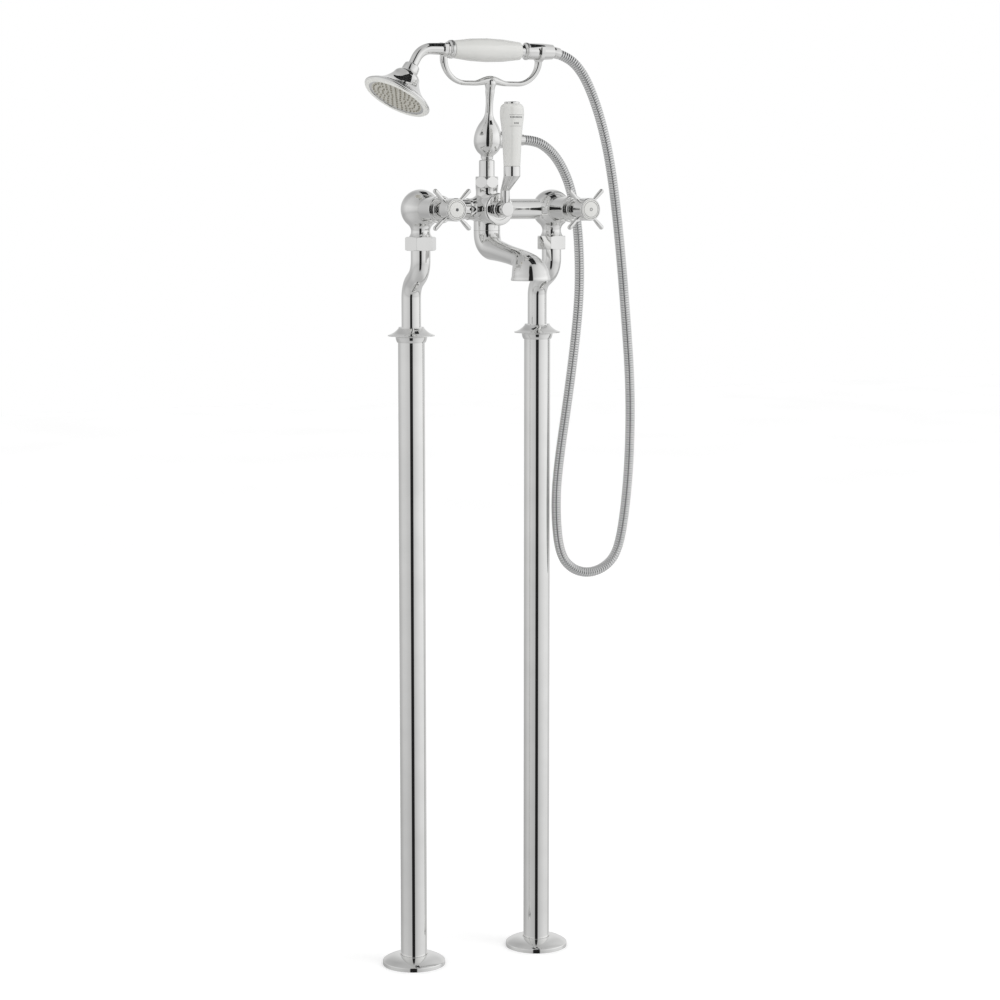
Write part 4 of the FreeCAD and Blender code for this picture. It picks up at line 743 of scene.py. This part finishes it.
def makeValve(water, way):
    size = valve
    tail, skirtHeight, curve, barrel = pick(size, "tail skirt neckCurve barrel")
    middle = size["neck"] + curve
    reach = size["ball"] + curve
    drop = sqrt(reach**2 - middle**2)
    touch = size["ball"] / reach
    skirt = middle - sqrt(curve**2 - (-skirtHeight - drop) ** 2)
    body = [
        (0, size["tailBottom"]), (tail, size["tailBottom"]), (tail, skirtHeight), (skirt, skirtHeight, -curve),
        (size["neck"], -drop, -curve), (touch * middle, -touch * drop, size["ball"]),
        (size["ball"], 0, size["ball"]), (0, size["ball"]),
    ]
    end, floor, narrow = size["length"], size["length"] - size["recessDepth"], barrel - size["barrelLip"]
    arm = [
        (0, 0), (narrow, 0), (narrow, end - 5.5, -2), (barrel, end - 4), (barrel, end - 0.6),
        (barrel - 0.6, end), (size["recess"], end), (size["recess"], floor), (0, floor),
    ]
    spot = valveSpot(way)
    piece(f"{water}ValveBody", [lathe(body, spot), lathe(arm, spot @ forward)], chrome, edge=0.25)


def makeBridge(water, way):
    corners = section(bridge["bore"], bridge["radius"], bridge["start"], bridge["end"])
    place = mixer @ turned(pi / 2 * way, "Y")
    piece(f"{water}BridgeTube", [lathe(corners, place)], tubeChrome, edge=0.2)


def makeCentre(size):
    bore, top, rise, spigot = pick(size, "bore top rise spigot")
    spigotTop = rise + size["spigotHeight"]
    column = lathe([
        (bore, -size["drop"]), (size["column"], -size["drop"]),
        (size["column"], size["shoulder"], size["shoulderCurve"]),
        (top, size["shoulderTop"], -size["shoulderCurve"]), (top, rise), (spigot, rise),
        (spigot, spigotTop), (bore, spigotTop),
    ], mixer)
    armBore, root, end, reach = bridge["radius"] + fit, size["armRoot"], size["armEnd"], size["armReach"]
    arm = lathe([
        (armBore, -reach), (end, -reach, -size["armCurve"]), (root, -size["armFlare"]),
        (root, size["armFlare"], -size["armCurve"]), (end, reach), (armBore, reach),
    ], mixer @ sideways)
    boss, corner, front, inner = pick(size, "boss bossRound bossLength bossBore")
    floor = front - size["bossRecess"]
    outlet = lathe([
        (0, 0), (size["column"] - 2, 0), (boss, boss / 2), (boss, front - corner, corner),
        (boss - corner, front), (inner, front), (inner, floor), (0, floor),
    ], mixer @ forward)
    piece("centreBody", [column, arm, outlet], chrome, edge=0.25)


for water, way in sides.values():
    makeValve(water, way)
    makeBridge(water, way)
makeCentre(centre)
print("valves and bridge made")

spout = dict(
    top=-26.0, lead=2.5, firstBend=20.0, fall=radians(8), runEnd=84.0,
    reach=116.0,
    mouthHeight=-83.9,  # under the mixer's axis
    wall=2.4, leastBore=8.9, root=16.3, waist=11.3, mouth=23.2,
    frontPull=(33.0, 27.0, 1.0),  # how far the mouth's front line runs on, hangs and leans
    backPull=(8.0, 8.5, 1.5), bead=0.8,
)


# A smooth line through (share, value) stops.
def smoothValue(stops, share):
    number = max(k for k in range(len(stops) - 1) if stops[k][0] <= share + 1e-9)
    low, high = stops[number], stops[number + 1]
    before = stops[max(number - 1, 0)]
    after = stops[min(number + 2, len(stops) - 1)]
    rise = high[0] - low[0]
    t = min((share - low[0]) / rise, 1)
    slopeLow = (high[1] - before[1]) / (high[0] - before[0]) * rise
    slopeHigh = (after[1] - low[1]) / (after[0] - low[0]) * rise
    return ((2 * t**3 - 3 * t**2 + 1) * low[1] + (t**3 - 2 * t**2 + t) * slopeLow
            + (3 * t**2 - 2 * t**3) * high[1] + (t**3 - t**2) * slopeHigh)


# A ring's frame, which stands across the spout's middle plane.
def spoutRing(middle, up):
    across = Vector((1, 0, 0))
    return moved(*middle) @ Matrix((across, up, across.cross(up))).transposed().to_4x4()


def makeSpout(size):
    heading = pi / 2 - size["fall"]
    bend, root, waist = pick(size, "firstBend root waist")
    turn = size["top"] - size["lead"]
    points = [Vector((0, 0, size["top"])), Vector((0, 0, turn))]
    for step in range(1, 17):
        angle = heading * step / 16
        points.append(Vector((0, bend * (cos(angle) - 1), turn - bend * sin(angle))))
    start = points[-1]
    way = Vector((0, -sin(heading), -cos(heading)))
    run = way * (size["runEnd"] + start.y) / sin(heading)
    points += [start + run * step / 12 for step in range(1, 12)]
    end = start + run
    lengths = distancesAlong(points)
    shape = [(0.0, root), (0.17, root - 0.3), (0.36, root - 2.6), (0.58, waist + 0.9), (0.82, waist), (1.0, waist)]
    radii = [smoothValue(shape, distance / lengths[-1]) for distance in lengths]
    across = Vector((1, 0, 0))
    frames = []
    for point, low, high in zip(points, points[:1] + points, points[1:] + points[-1:]):
        frames.append(spoutRing(point, (high - low).normalized().cross(across)))
    # The mouth hangs between two lines in the middle plane, one over the top and front, one
    # under and behind.
    up, mouth = way.cross(across), size["mouthHeight"]
    lines = []
    for sign, pull in ((1, size["frontPull"]), (-1, size["backPull"])):
        far = -size["reach"] - sign * size["mouth"]
        leave = end + up * waist * sign
        lines.append([leave, leave + way * pull[0], Vector((0, far + sign * pull[2], mouth + pull[1])),
                      Vector((0, far, mouth))])
    for step in range(31):
        share = 1 - (1 - step / 30) ** 1.3
        above, below = (interpolate_bezier(*line, 101)[round(share * 100)] for line in lines)
        frames.append(spoutRing((above + below) / 2, (above - below).normalized()))
        radii.append((above - below).length / 2)
    for number, swell in zip(range(-7, 0), (0.0, 0.3, 0.6, 0.8, 0.85, 0.7, 0.2)):
        radii[number] += swell * size["bead"]
    bores = [max(radius - size["wall"], size["leastBore"]) for radius in radii]
    piece("spout", [hollow(frames, radii, bores, 72, mixer)], chrome, edge=0.25)
    print("spout made, mouth at", round(stance["valveZ"] + mouth, 1), "mm")


makeSpout(spout)

spindle = 4.1  # the bore for the spindle, in mm
headwork = dict(
    seat=52.0, rim=14.5, rimFront=55.0, bonnet=12.0, front=61.0, gland=9.8,
    glandFront=64.0,
)
handle = dict(
    skirt=10.2, skirtBack=64.3, skirtBore=8.8, skirtFloor=77.0, screwBore=4.8,
    screwSeat=91.0, hub=13.7, hubBack=80.0, hubFront=100.4, spokePlane=87.5,
    spokeSeat=8.0, spoke=2.2, spokeCurve=60.0, spokeTip=2.9, spokeReach=33.6,
    disc=11.4, discBack=96.6, discCurve=66.0, discCrown=1.2,
)
# rings of print on the index discs, from and to which radius
indexPrint = dict(edge=(9.3, 9.6), hot=(0, 1.9), cold=(1.2, 1.9), thickness=0.12, proud=0.04)


def makeHeadwork(water, way):
    seat, rim, rimFront, bonnet, front = pick(headwork, "seat rim rimFront bonnet front")
    gland, glandFront = pick(headwork, "gland glandFront")
    corners = [
        (spindle, seat), (rim, seat), (rim, rimFront), (bonnet, rimFront), (bonnet, front - 0.8),
        (bonnet - 0.8, front), (gland, front), (gland, glandFront), (spindle, glandFront),
    ]
    piece(f"{water}Bonnet", [lathe(corners, valveSpot(way) @ forward)], chrome)


def makeHandle(water, way):
    size = handle
    spot = valveSpot(way) @ forward
    back, front, hub, skirt = pick(size, "hubBack hubFront hub skirt")
    disc, discBack, bore, screw = pick(size, "disc discBack skirtBore screwBore")
    corners = [
        (bore, size["skirtBack"]), (skirt, size["skirtBack"]), (skirt, back - 3, -3.6), (hub - 0.2, back),
        (hub, back + 0.8), (hub, front - 1.6, 1.6), (hub - 1.3, front, 0.8), (disc + 0.1, front - 0.3),
        (disc + 0.1, discBack), (screw, discBack), (screw, size["screwSeat"]), (spindle, size["screwSeat"]),
        (spindle, size["skirtFloor"]), (bore, size["skirtFloor"]),
    ]
    piece(f"{water}HandleHub", [lathe(corners, spot)], chrome)
    tip, thin, seat = pick(size, "spokeTip spoke spokeSeat")
    ball = size["spokeReach"] - tip
    spoke = [
        (0, seat), (thin, seat), (thin, hub + 5, size["spokeCurve"]), (tip - 0.1, ball - 3), (tip, ball, tip),
        (0, size["spokeReach"]),
    ]
    spokes = []
    for quarter in range(4):
        angle = radians(45 + 90 * quarter)
        place = spot @ moved(z=size["spokePlane"]) @ turned(angle, "Z") @ sideways
        spokes.append(lathe(spoke, place, steps=32))
    piece(f"{water}HandleSpokes", spokes, chrome, edge=0.15)
    face = [
        (0, discBack), (disc, discBack), (disc, front - 0.7, 1.4), (disc - 1.2, front + 0.4, size["discCurve"]),
        (0, front + size["discCrown"]),
    ]
    piece(f"{water}IndexDisc", [lathe(face, spot)], ceramic, edge=0)


def makePrint(name, parts, body):
    item = addObject(name, asMesh(name, parts))
    item.data.materials.append(ink)
    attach(item, body)


def makeIndexPrint(water, way):
    spot = valveSpot(way) @ forward
    face = handle["hubFront"] + handle["discCrown"]
    rings = [(*indexPrint["edge"], face - 0.5), (*indexPrint[water], face + indexPrint["proud"])]
    marks = [lathe(section(inner, outer, top - indexPrint["thickness"], top), spot) for inner, outer, top in rings]
    makePrint(f"{water}IndexPrint", marks, f"{water}_handle")


for water, way in sides.values():
    makeHeadwork(water, way)
    makeHandle(water, way)
    makeIndexPrint(water, way)
print("cross handles made")

lever = dict(
    seat=30.0, thread=13.0, bossFront=34.0, gland=10.3, glandFront=40.0,
    hub=8.8, back=41.5, front=56.5, neck=5.6, neckTop=22.5,
    ferruleBottom=39.6, offset=18.0, ferrule=10.1, ferruleHeight=11.8,
    gripHeight=74.3, gripBore=3.05, gripFoot=10.0, gripHead=14.6,
    gripCurves=(260.0, 40.0), shoulder=6.5, cap=9.3, capHeight=2.4,
    capCurve=80.0,
)
# The print is on the grip's front: two rules with a long and a short row of ticks between them.
leverPrint = dict(
    angle=radians(-3), span=radians(74), rules=(61.0, 47.6), ruleHeight=0.25,
    rows=((58.2, range(1, 11)), (51.0, range(4, 8))),  # height and which of the ticks
    tickHeight=2.0,
    tickWidth=0.05,  # as a share of the span
    proud=0.04,
)


def makeLever(size):
    spot = mixer @ forward
    gland, reach, thread, bossFront = pick(size, "gland glandFront thread bossFront")
    bonnet = [
        (spindle, size["seat"]), (thread, size["seat"]), (thread, bossFront), (gland, bossFront),
        (gland, reach - 1), (gland - 1, reach), (spindle, reach),
    ]
    piece("diverterBonnet", [lathe(bonnet, spot)], chrome)
    hub, back, front, neck, ferrule = pick(size, "hub back front neck ferrule")
    middle = (back + front) / 2
    outer = middle + size["offset"]
    boss = lathe([(0, back), (hub, back), (hub, front - 1.4, 1.4), (hub - 1.4, front), (0, front)], spot)
    low, high = pick(size, "neckTop ferruleBottom")
    foot = high + size["ferruleHeight"]
    stations = [(middle, 0, neck), (middle, low, neck)]
    for step in range(1, 5):
        share = step / 5
        stations.append((middle + size["offset"] * share, low + (high - low) * share,
                         neck + (ferrule - neck) * share))
    stations += [(outer, high, ferrule), (outer, foot, ferrule)]
    frames = [moved(y=-ahead, z=height) for ahead, height, radius in stations]
    crank = ringed(frames, [radius for ahead, height, radius in stations], 72, mixer)
    piece("diverterLever", [boss, crank], chrome)
    stand = mixer @ moved(y=-outer, z=foot)
    height, bore, head, shoulder = pick(size, "gripHeight gripBore gripHead shoulder")
    hollowCurve, headCurve = size["gripCurves"]
    grip = [
        (bore, 0), (size["gripFoot"], 0), (size["gripFoot"] + 1.4, height * 0.37, -hollowCurve),
        (head - 0.3, height * 0.78, headCurve), (head - 0.4, height - shoulder, shoulder),
        (size["cap"] + 0.6, height), (bore, height),
    ]
    piece("leverGrip", [lathe(grip, stand)], ceramic, edge=0.5)
    cap, top = size["cap"], height + size["capHeight"]
    button = [(0, height), (cap, height), (cap, top - 1, 1), (cap - 1, top, size["capCurve"]), (0, top + 0.4)]
    piece("leverCap", [lathe(button, stand)], chrome, edge=0.2)
    makeLeverPrint(leverPrint, traced(grip), stand)


def makeLeverPrint(size, outline, stand):
    marks = [(level, size["ruleHeight"], 0, 1) for level in size["rules"]]
    for level, ticks in size["rows"]:
        marks += [(level, size["tickHeight"], tick / 11 - 0.5, size["tickWidth"]) for tick in ticks]
    parts = []
    for level, tall, middle, wide in marks:
        bm = bmesh.new()
        bmesh.ops.create_grid(bm, x_segments=max(2, round(30 * wide)), y_segments=1, size=0.5)
        for vert in bm.verts:
            rise = level + vert.co.y * tall
            low, high = next((a, b) for a, b in zip(outline[1:], outline[2:]) if a.y <= rise <= b.y)
            reach = low.x + (high.x - low.x) * (rise - low.y) / (high.y - low.y) + size["proud"]
            angle = size["angle"] + (middle + vert.co.x * wide) * size["span"]
            vert.co = Vector((reach * sin(angle), -reach * cos(angle), rise)) * mm
        bmesh.ops.transform(bm, matrix=stand, verts=bm.verts)
        parts.append(bm)
    makePrint("leverPrint", parts, "lever")


makeLever(lever)
print("lever made")

riser = dict(
    nutFlats=27.6, nutBottom=975.7, nutHeight=13.9, nutTurn=radians(3),
    chamfer=4.4, radius=9.7, bore=7.1, bottom=983.0, top=1010.0, shoulder=2.3,
)
cradle = dict(
    neck=6.4, neckDepth=6.0,
    gap=1.2,  # riser's top to the bulb's foot
    foot=7.6, footCurve=3.0, bulbLower=20.0, bulb=17.2, bulbHeight=22.5,
    bulbCurve=40.0, bulbUpper=24.0, stem=4.7, stemCurves=(90.0, 16.0),
    stemTop=7.4, barHeight=92.3, bar=3.0,
    barRoot=2.0,  # how much thicker the bar is at the stem
    rootHalf=24.0,
    armTop=1.7,  # and each arm at its yoke
    hump=4.0, humpHalf=23.0, armReach=64.5, leftBend=31.0, rightBend=27.5,
    leftYoke=6.65,  # inner radius
    rightYoke=10.2, yokeThickness=3.2, yokeWidth=4.6, prong=5.6, outlet=10.4,
    outletReach=22.0, outletHeight=24.5, spigot=6.2, spigotLength=7.0,
)


def makeRiser(size):
    place = moved(0, stance["valveY"], size["nutBottom"]) @ turned(size["nutTurn"], "Z")
    nut = hexNut(size["nutFlats"], size["nutHeight"], size["radius"] + fit, size["chamfer"], place)
    piece("riserNut", [nut], chrome, edge=0.25)
    bore, radius, bottom, top, edge = pick(size, "bore radius bottom top shoulder")
    tube = [(bore, bottom), (radius, bottom), (radius, top - edge, edge), (radius - edge, top), (bore, top)]
    piece("riserTube", [lathe(tube, moved(0, stance["valveY"], 0))], tubeChrome, edge=0.2)


def bulbAndStem(size):
    lower, bulb, curve, foot = pick(size, "bulbLower bulb bulbCurve foot")
    reach, inset = lower + size["footCurve"], lower - bulb
    middle = foot + size["footCurve"] + inset
    drop = sqrt(reach**2 - middle**2)
    touch = lower / reach
    flat = sqrt(curve**2 - size["bulbUpper"] ** 2)
    neck, neckHeight = bulb - curve + flat, size["bulbHeight"] + size["bulbUpper"]
    stem, stemTop = pick(size, "stem stemTop")
    stemCurve = (neck - stem) / (1 - flat / curve)
    stemHeight = neckHeight + stemCurve * size["bulbUpper"] / curve
    crown = size["barHeight"] + size["hump"] + size["bar"] - stemTop + 0.6
    return lathe([
        (0, -size["neckDepth"]), (size["neck"], -size["neckDepth"]), (size["neck"], size["gap"]),
        (foot, size["gap"]), (foot, size["bulbHeight"] - drop, -size["footCurve"]),
        (touch * middle - inset, size["bulbHeight"] - touch * drop, lower),
        (bulb, size["bulbHeight"], curve), (neck, neckHeight, -stemCurve),
        (stem, stemHeight, -size["stemCurves"][0]), (stem + 1.1, size["barHeight"] - 10, -size["stemCurves"][1]),
        (stemTop, crown - 1), (stemTop, crown, stemTop), (0, crown + stemTop),
    ], cradleFrame)


def barAndArms(size, yokes):
    reach, bar, half = pick(size, "armReach barHeight humpHalf")
    left, right = (stance["axisHeight"] - inner - size["yokeThickness"] / 2 for x, inner in yokes)
    path = bentPath([(-reach, 0, left), (-reach, 0, bar), (-half, 0, bar)], [size["leftBend"]])
    for step in range(1, 24):
        x = half * (step / 12 - 1)
        path.append(Vector((x, 0, bar + size["hump"] * (0.5 + 0.5 * cos(pi * x / half)))))
    path += bentPath([(half, 0, bar), (reach, 0, bar), (reach, 0, right)], [size["rightBend"]])
    path = [point for a, b in zip(path, path[1:]) for point in (a, a.lerp(b, 0.5))] + path[-1:]
    radii = []
    for point in path:
        up = max(0, min(1, (point.z - bar) / (right - bar)))
        near = max(0, 1 - abs(point.x) / size["rootHalf"])
        radii.append(size["bar"] + size["armTop"] * up + size["barRoot"] * near**2 * (3 - 2 * near))
    return ringed(framesAlong(path), radii, 32, cradleFrame)


# A yoke stands across the handset: its outline is drawn in Y and Z.
def yoke(size, x, inner):
    outer, tip, prong = inner + size["yokeThickness"], size["yokeThickness"] / 2, size["prong"]
    corners = [
        (-outer, 0, outer), (0, -outer, outer), (outer, 0), (outer, prong, tip),
        (inner + tip, prong + tip, tip), (inner, prong), (inner, 0, -inner), (0, -inner, -inner),
        (-inner, 0), (-inner, prong, tip), (-inner - tip, prong + tip, tip), (-outer, prong),
    ]
    upright = Matrix(((0, 0, 1, 0), (1, 0, 0, 0), (0, 1, 0, 0), (0, 0, 0, 1)))
    return slab(corners, size["yokeWidth"], handsetFrame @ moved(x=x) @ upright)


def makeCradle(size):
    yokes = [(-size["armReach"], size["leftYoke"]), (size["armReach"], size["rightYoke"])]
    outlet, spigot, root, end = size["outlet"], size["spigot"], size["bulb"] - 5, size["outletReach"]
    boss = lathe([
        (0, root), (outlet, root), (outlet, end - 1, 1), (outlet - 1, end), (spigot, end),
        (spigot, end + size["spigotLength"]), (0, end + size["spigotLength"]),
    ], cradleFrame @ moved(z=size["outletHeight"]) @ sideways)
    parts = [bulbAndStem(size), barAndArms(size, yokes)] + [yoke(size, x, inner) for x, inner in yokes]
    piece("cradle", parts + [boss], chrome, edge=0.5)


makeRiser(riser)
makeCradle(cradle)
print("cradle made")

hoseEnds = dict(
    union=9.4, unionGap=0.3, unionEnd=41.0, unionDepth=8.0, sleeve=6.9,
    crimp=44.0, mouth=49.0, tailEnd=83.0, tailDepth=6.0, upperCrimp=-3.5,
    upperMouth=9.5, droop=radians(12),
)


def makeHoseEnds(size):
    outlet = cradleFrame @ moved(z=cradle["outletHeight"]) @ sideways
    start = cradle["outletReach"] + size["unionGap"]
    inner, bore, outer = cradle["spigot"] + fit, hose["bore"], hose["radius"]
    end, sleeve, mouth, floor = size["unionEnd"], size["sleeve"], size["mouth"], start + size["unionDepth"]
    union = [
        (inner, start), (size["union"], start), (size["union"], start + 10, 3), (sleeve + 0.8, end),
        (bore, end), (bore, floor), (inner, floor),
    ]
    piece("hoseUnion", [lathe(union, outlet)], chrome)
    lower = [
        (bore, end), (sleeve, end), (sleeve, mouth - 1, 1), (sleeve - 0.5, mouth), (outer, mouth),
        (outer, size["crimp"]), (bore, size["crimp"]),
    ]
    piece("lowerHoseFerrule", [lathe(lower, outlet)], chrome, edge=0.2)
    tail = handsetFrame @ moved(x=size["tailEnd"]) @ turned(pi / 2 + size["droop"], "Y")
    back, crimp, mouth = -size["tailDepth"], size["upperCrimp"], size["upperMouth"]
    upper = [
        (bore, back), (sleeve - 1.5, back), (sleeve, crimp), (sleeve, mouth - 1, 1), (sleeve - 0.5, mouth),
        (outer, mouth), (outer, crimp), (bore, crimp),
    ]
    piece("upperHoseFerrule", [lathe(upper, tail)], chrome, edge=0.2)


makeHoseEnds(hoseEnds)

handset = dict(
    left=52.4, right=37.6, mid=14.5, end=10.7, bore=6.4, pipe=6.35,
    pipeRoot=7.5,  # where the neck leaves the collar
    pipeTip=5.8, pipeBore=5.05, corner=94.9, bend=24.0, drop=23.9,
    tilt=radians(31),
    roll=radians(12),  # the rose turns to the front round the grip
    bead=11.0, collar=8.8, collarLength=8.8, tailRoot=7.4, tail=9.9,
    tailBead=10.5, tailWaist=69.2, tailEnd=83.0, tailSocket=7.5,
    socketFloor=77.0,
    overlap=4.0,  # how far the pipe stands in the tail
)
rose = dict(
    bore=5.05, nutBore=6.4, nutTop=9.5, nutFoot=10.4, nutCurve=30.0,
    nutLength=10.5, shoulder=16.8, bellCurve=47.0, wall=2.4, radius=41.9,
    depth=36.0, face=35.6, recess=0.9, plate=1.8, chamfer=2.6, nub=1.0,
    nubHeight=3.2, nubRings=6, ringStep=6.0,
)
rolled = handsetFrame @ turned(-handset["roll"], "X")


def makeHandset(size):
    along = handsetFrame @ sideways
    left, right, end, bore = -size["left"], size["right"], size["end"], size["bore"]
    half, rise = (right - left) / 2, size["mid"] - end
    curve = (half**2 + rise**2) / (2 * rise)
    grip = [(bore, left), (end - 0.9, left, 0.9), (end, left + 0.9, curve), (end, right - 0.9, 0.9),
            (end - 0.9, right), (bore, right)]
    piece("handsetGrip", [lathe(grip, along)], ceramic, edge=0)
    bead, small, leaves = size["bead"], size["collar"], left - size["collarLength"]
    collarCorners = [
        (bore, leaves), (small - 0.6, leaves, 0.6), (small, leaves + 0.6), (small, left - 6.8, -0.8),
        (bead - 1.4, left - 6, 2.2), (bead, left - 3.2, 2.2), (bead - 1.6, left), (bore, left),
    ]
    piece("handsetCollar", [lathe(collarCorners, along)], chrome, edge=0.2)
    root, wide, tail, tailEnd = pick(size, "tailRoot tailBead tail tailEnd")
    socket, floor, inner = pick(size, "tailSocket socketFloor pipeBore")
    start = right + size["overlap"]
    tailCorners = [
        (bore, right), (root, right), (root, start, -3), (wide - 0.8, right + 7.2, 1.6),
        (wide, right + 9.2, 1.6), (tail, right + 11.2), (tail, size["tailWaist"]),
        (tail - 1, tailEnd - 0.8, 0.8), (tail - 1.8, tailEnd), (socket + 0.4, tailEnd), (socket, floor),
        (inner, floor), (inner, start), (bore, start),
    ]
    piece("handsetTail", [lathe(tailCorners, along)], chrome, edge=0.2)
    way = Vector((-sin(size["tilt"]), 0, -cos(size["tilt"])))
    bend = Vector((-size["corner"], 0, 0))
    path = bentPath([(start, 0, 0), bend, bend + way * (size["drop"] + 5)], [size["bend"]])
    path[1:1] = [Vector((x, 0, 0)) for x in (leaves + 0.02, leaves, leaves - 6)]
    # the neck tapers from the collar to the rose
    beyond = [0.0]
    for a, b in zip(path, path[1:]):
        beyond.append(beyond[-1] + (b - a).length if b.x < leaves else 0.0)
    taper = size["pipeTip"] - size["pipeRoot"]
    radii = [size["pipe"]] * 2
    radii += [size["pipeRoot"] + taper * (distance / beyond[-1]) ** 0.8 for distance in beyond[2:]]
    tube = hollow(framesAlong(path), radii, [size["pipeBore"]] * len(path), 64, rolled)
    piece("handsetNeck", [tube], tubeChrome, edge=0.15, node="handset_neck_pipe")


def makeRose(size):
    tilt, drop = pick(handset, "tilt drop")
    head = rolled @ moved(x=-handset["corner"] - sin(tilt) * drop, z=-cos(tilt) * drop)
    head = head @ turned(pi + tilt, "Y")
    long, top, wide, bore = pick(size, "nutLength nutTop nutFoot nutBore")
    nut = [
        (bore, 0), (top - 1.4, 0, 1.8), (top, 1.6, size["nutCurve"]), (wide - 0.2, long - 1.2),
        (wide - 0.8, long - 0.5), (wide - 0.8, long), (bore, long),
    ]
    piece("roseNut", [lathe(nut, head)], chrome, edge=0.2)
    foot = long + size["depth"]
    face, radius, shoulder, wall = pick(size, "face radius shoulder wall")
    plateFoot = foot - size["recess"]
    seat = plateFoot - size["plate"]
    bell = [
        (size["bore"], long), (wide, long, 9), (shoulder, long + 7.4, -size["bellCurve"]),
        (radius - 3.4, foot - 7.2, -7), (radius - 0.6, foot - 5.0, 2.2), (radius - 0.5, foot - 1.2, 1.6),
        (radius - 2.2, foot, 3), (face + 0.4, foot, 0.5), (face, foot - 0.4), (face, seat),
        (face - wall, seat), (face - wall, seat - 1.0, size["bellCurve"] + 5),
        (shoulder - wall, long + 11), (size["bore"], long + 5),
    ]
    shell = piece("roseBell", [lathe(bell, head, steps=128)], chrome, edge=0)
    flat, chamfer = face - fit, face - size["chamfer"]
    plate = [(0, seat), (flat, seat), (flat, plateFoot), (chamfer, plateFoot - 0.5), (0, plateFoot - 0.5)]
    disc = piece("rosePlate", [lathe(plate, head)], satin, edge=0)
    # a second material for the bell's lower edge, whose near-white is a painted highlight, and for the plate's
    # chamfer
    down = head.to_3x3() @ Vector((0, 0, 1))
    shell.data.materials.append(rim)
    # faces that look along the rose's face get the painted highlight
    for side in shell.data.polygons:
        side.material_index = int(side.normal.dot(down) > 0.6)
    disc.data.materials.append(hoseSteel)
    for side in disc.data.polygons:
        side.material_index = int((side.center - head.translation).cross(down).length > chamfer * mm)
    nub, tall = size["nub"], size["nubHeight"] - size["plate"]
    corners = [(0, 0), (nub + 0.15, 0), (nub + 0.05, tall * 0.4), (nub * 0.75, tall), (nub * 0.4, tall),
               (nub * 0.35, tall - 0.7), (0, tall - 0.7)]
    nubs = []
    for number in range(size["nubRings"]):
        count = max(1, 6 * number)
        for step in range(count):
            spot = head @ turned(tau * step / count, "Z")
            spot = spot @ moved(x=size["ringStep"] * number, z=plateFoot - 0.6)
            nubs.append(lathe(corners, spot, steps=12))
    piece("nozzleNubs", nubs, silicone, edge=0, node="nozzle_mat")


makeHandset(handset)
makeRose(rose)
print("handset made")
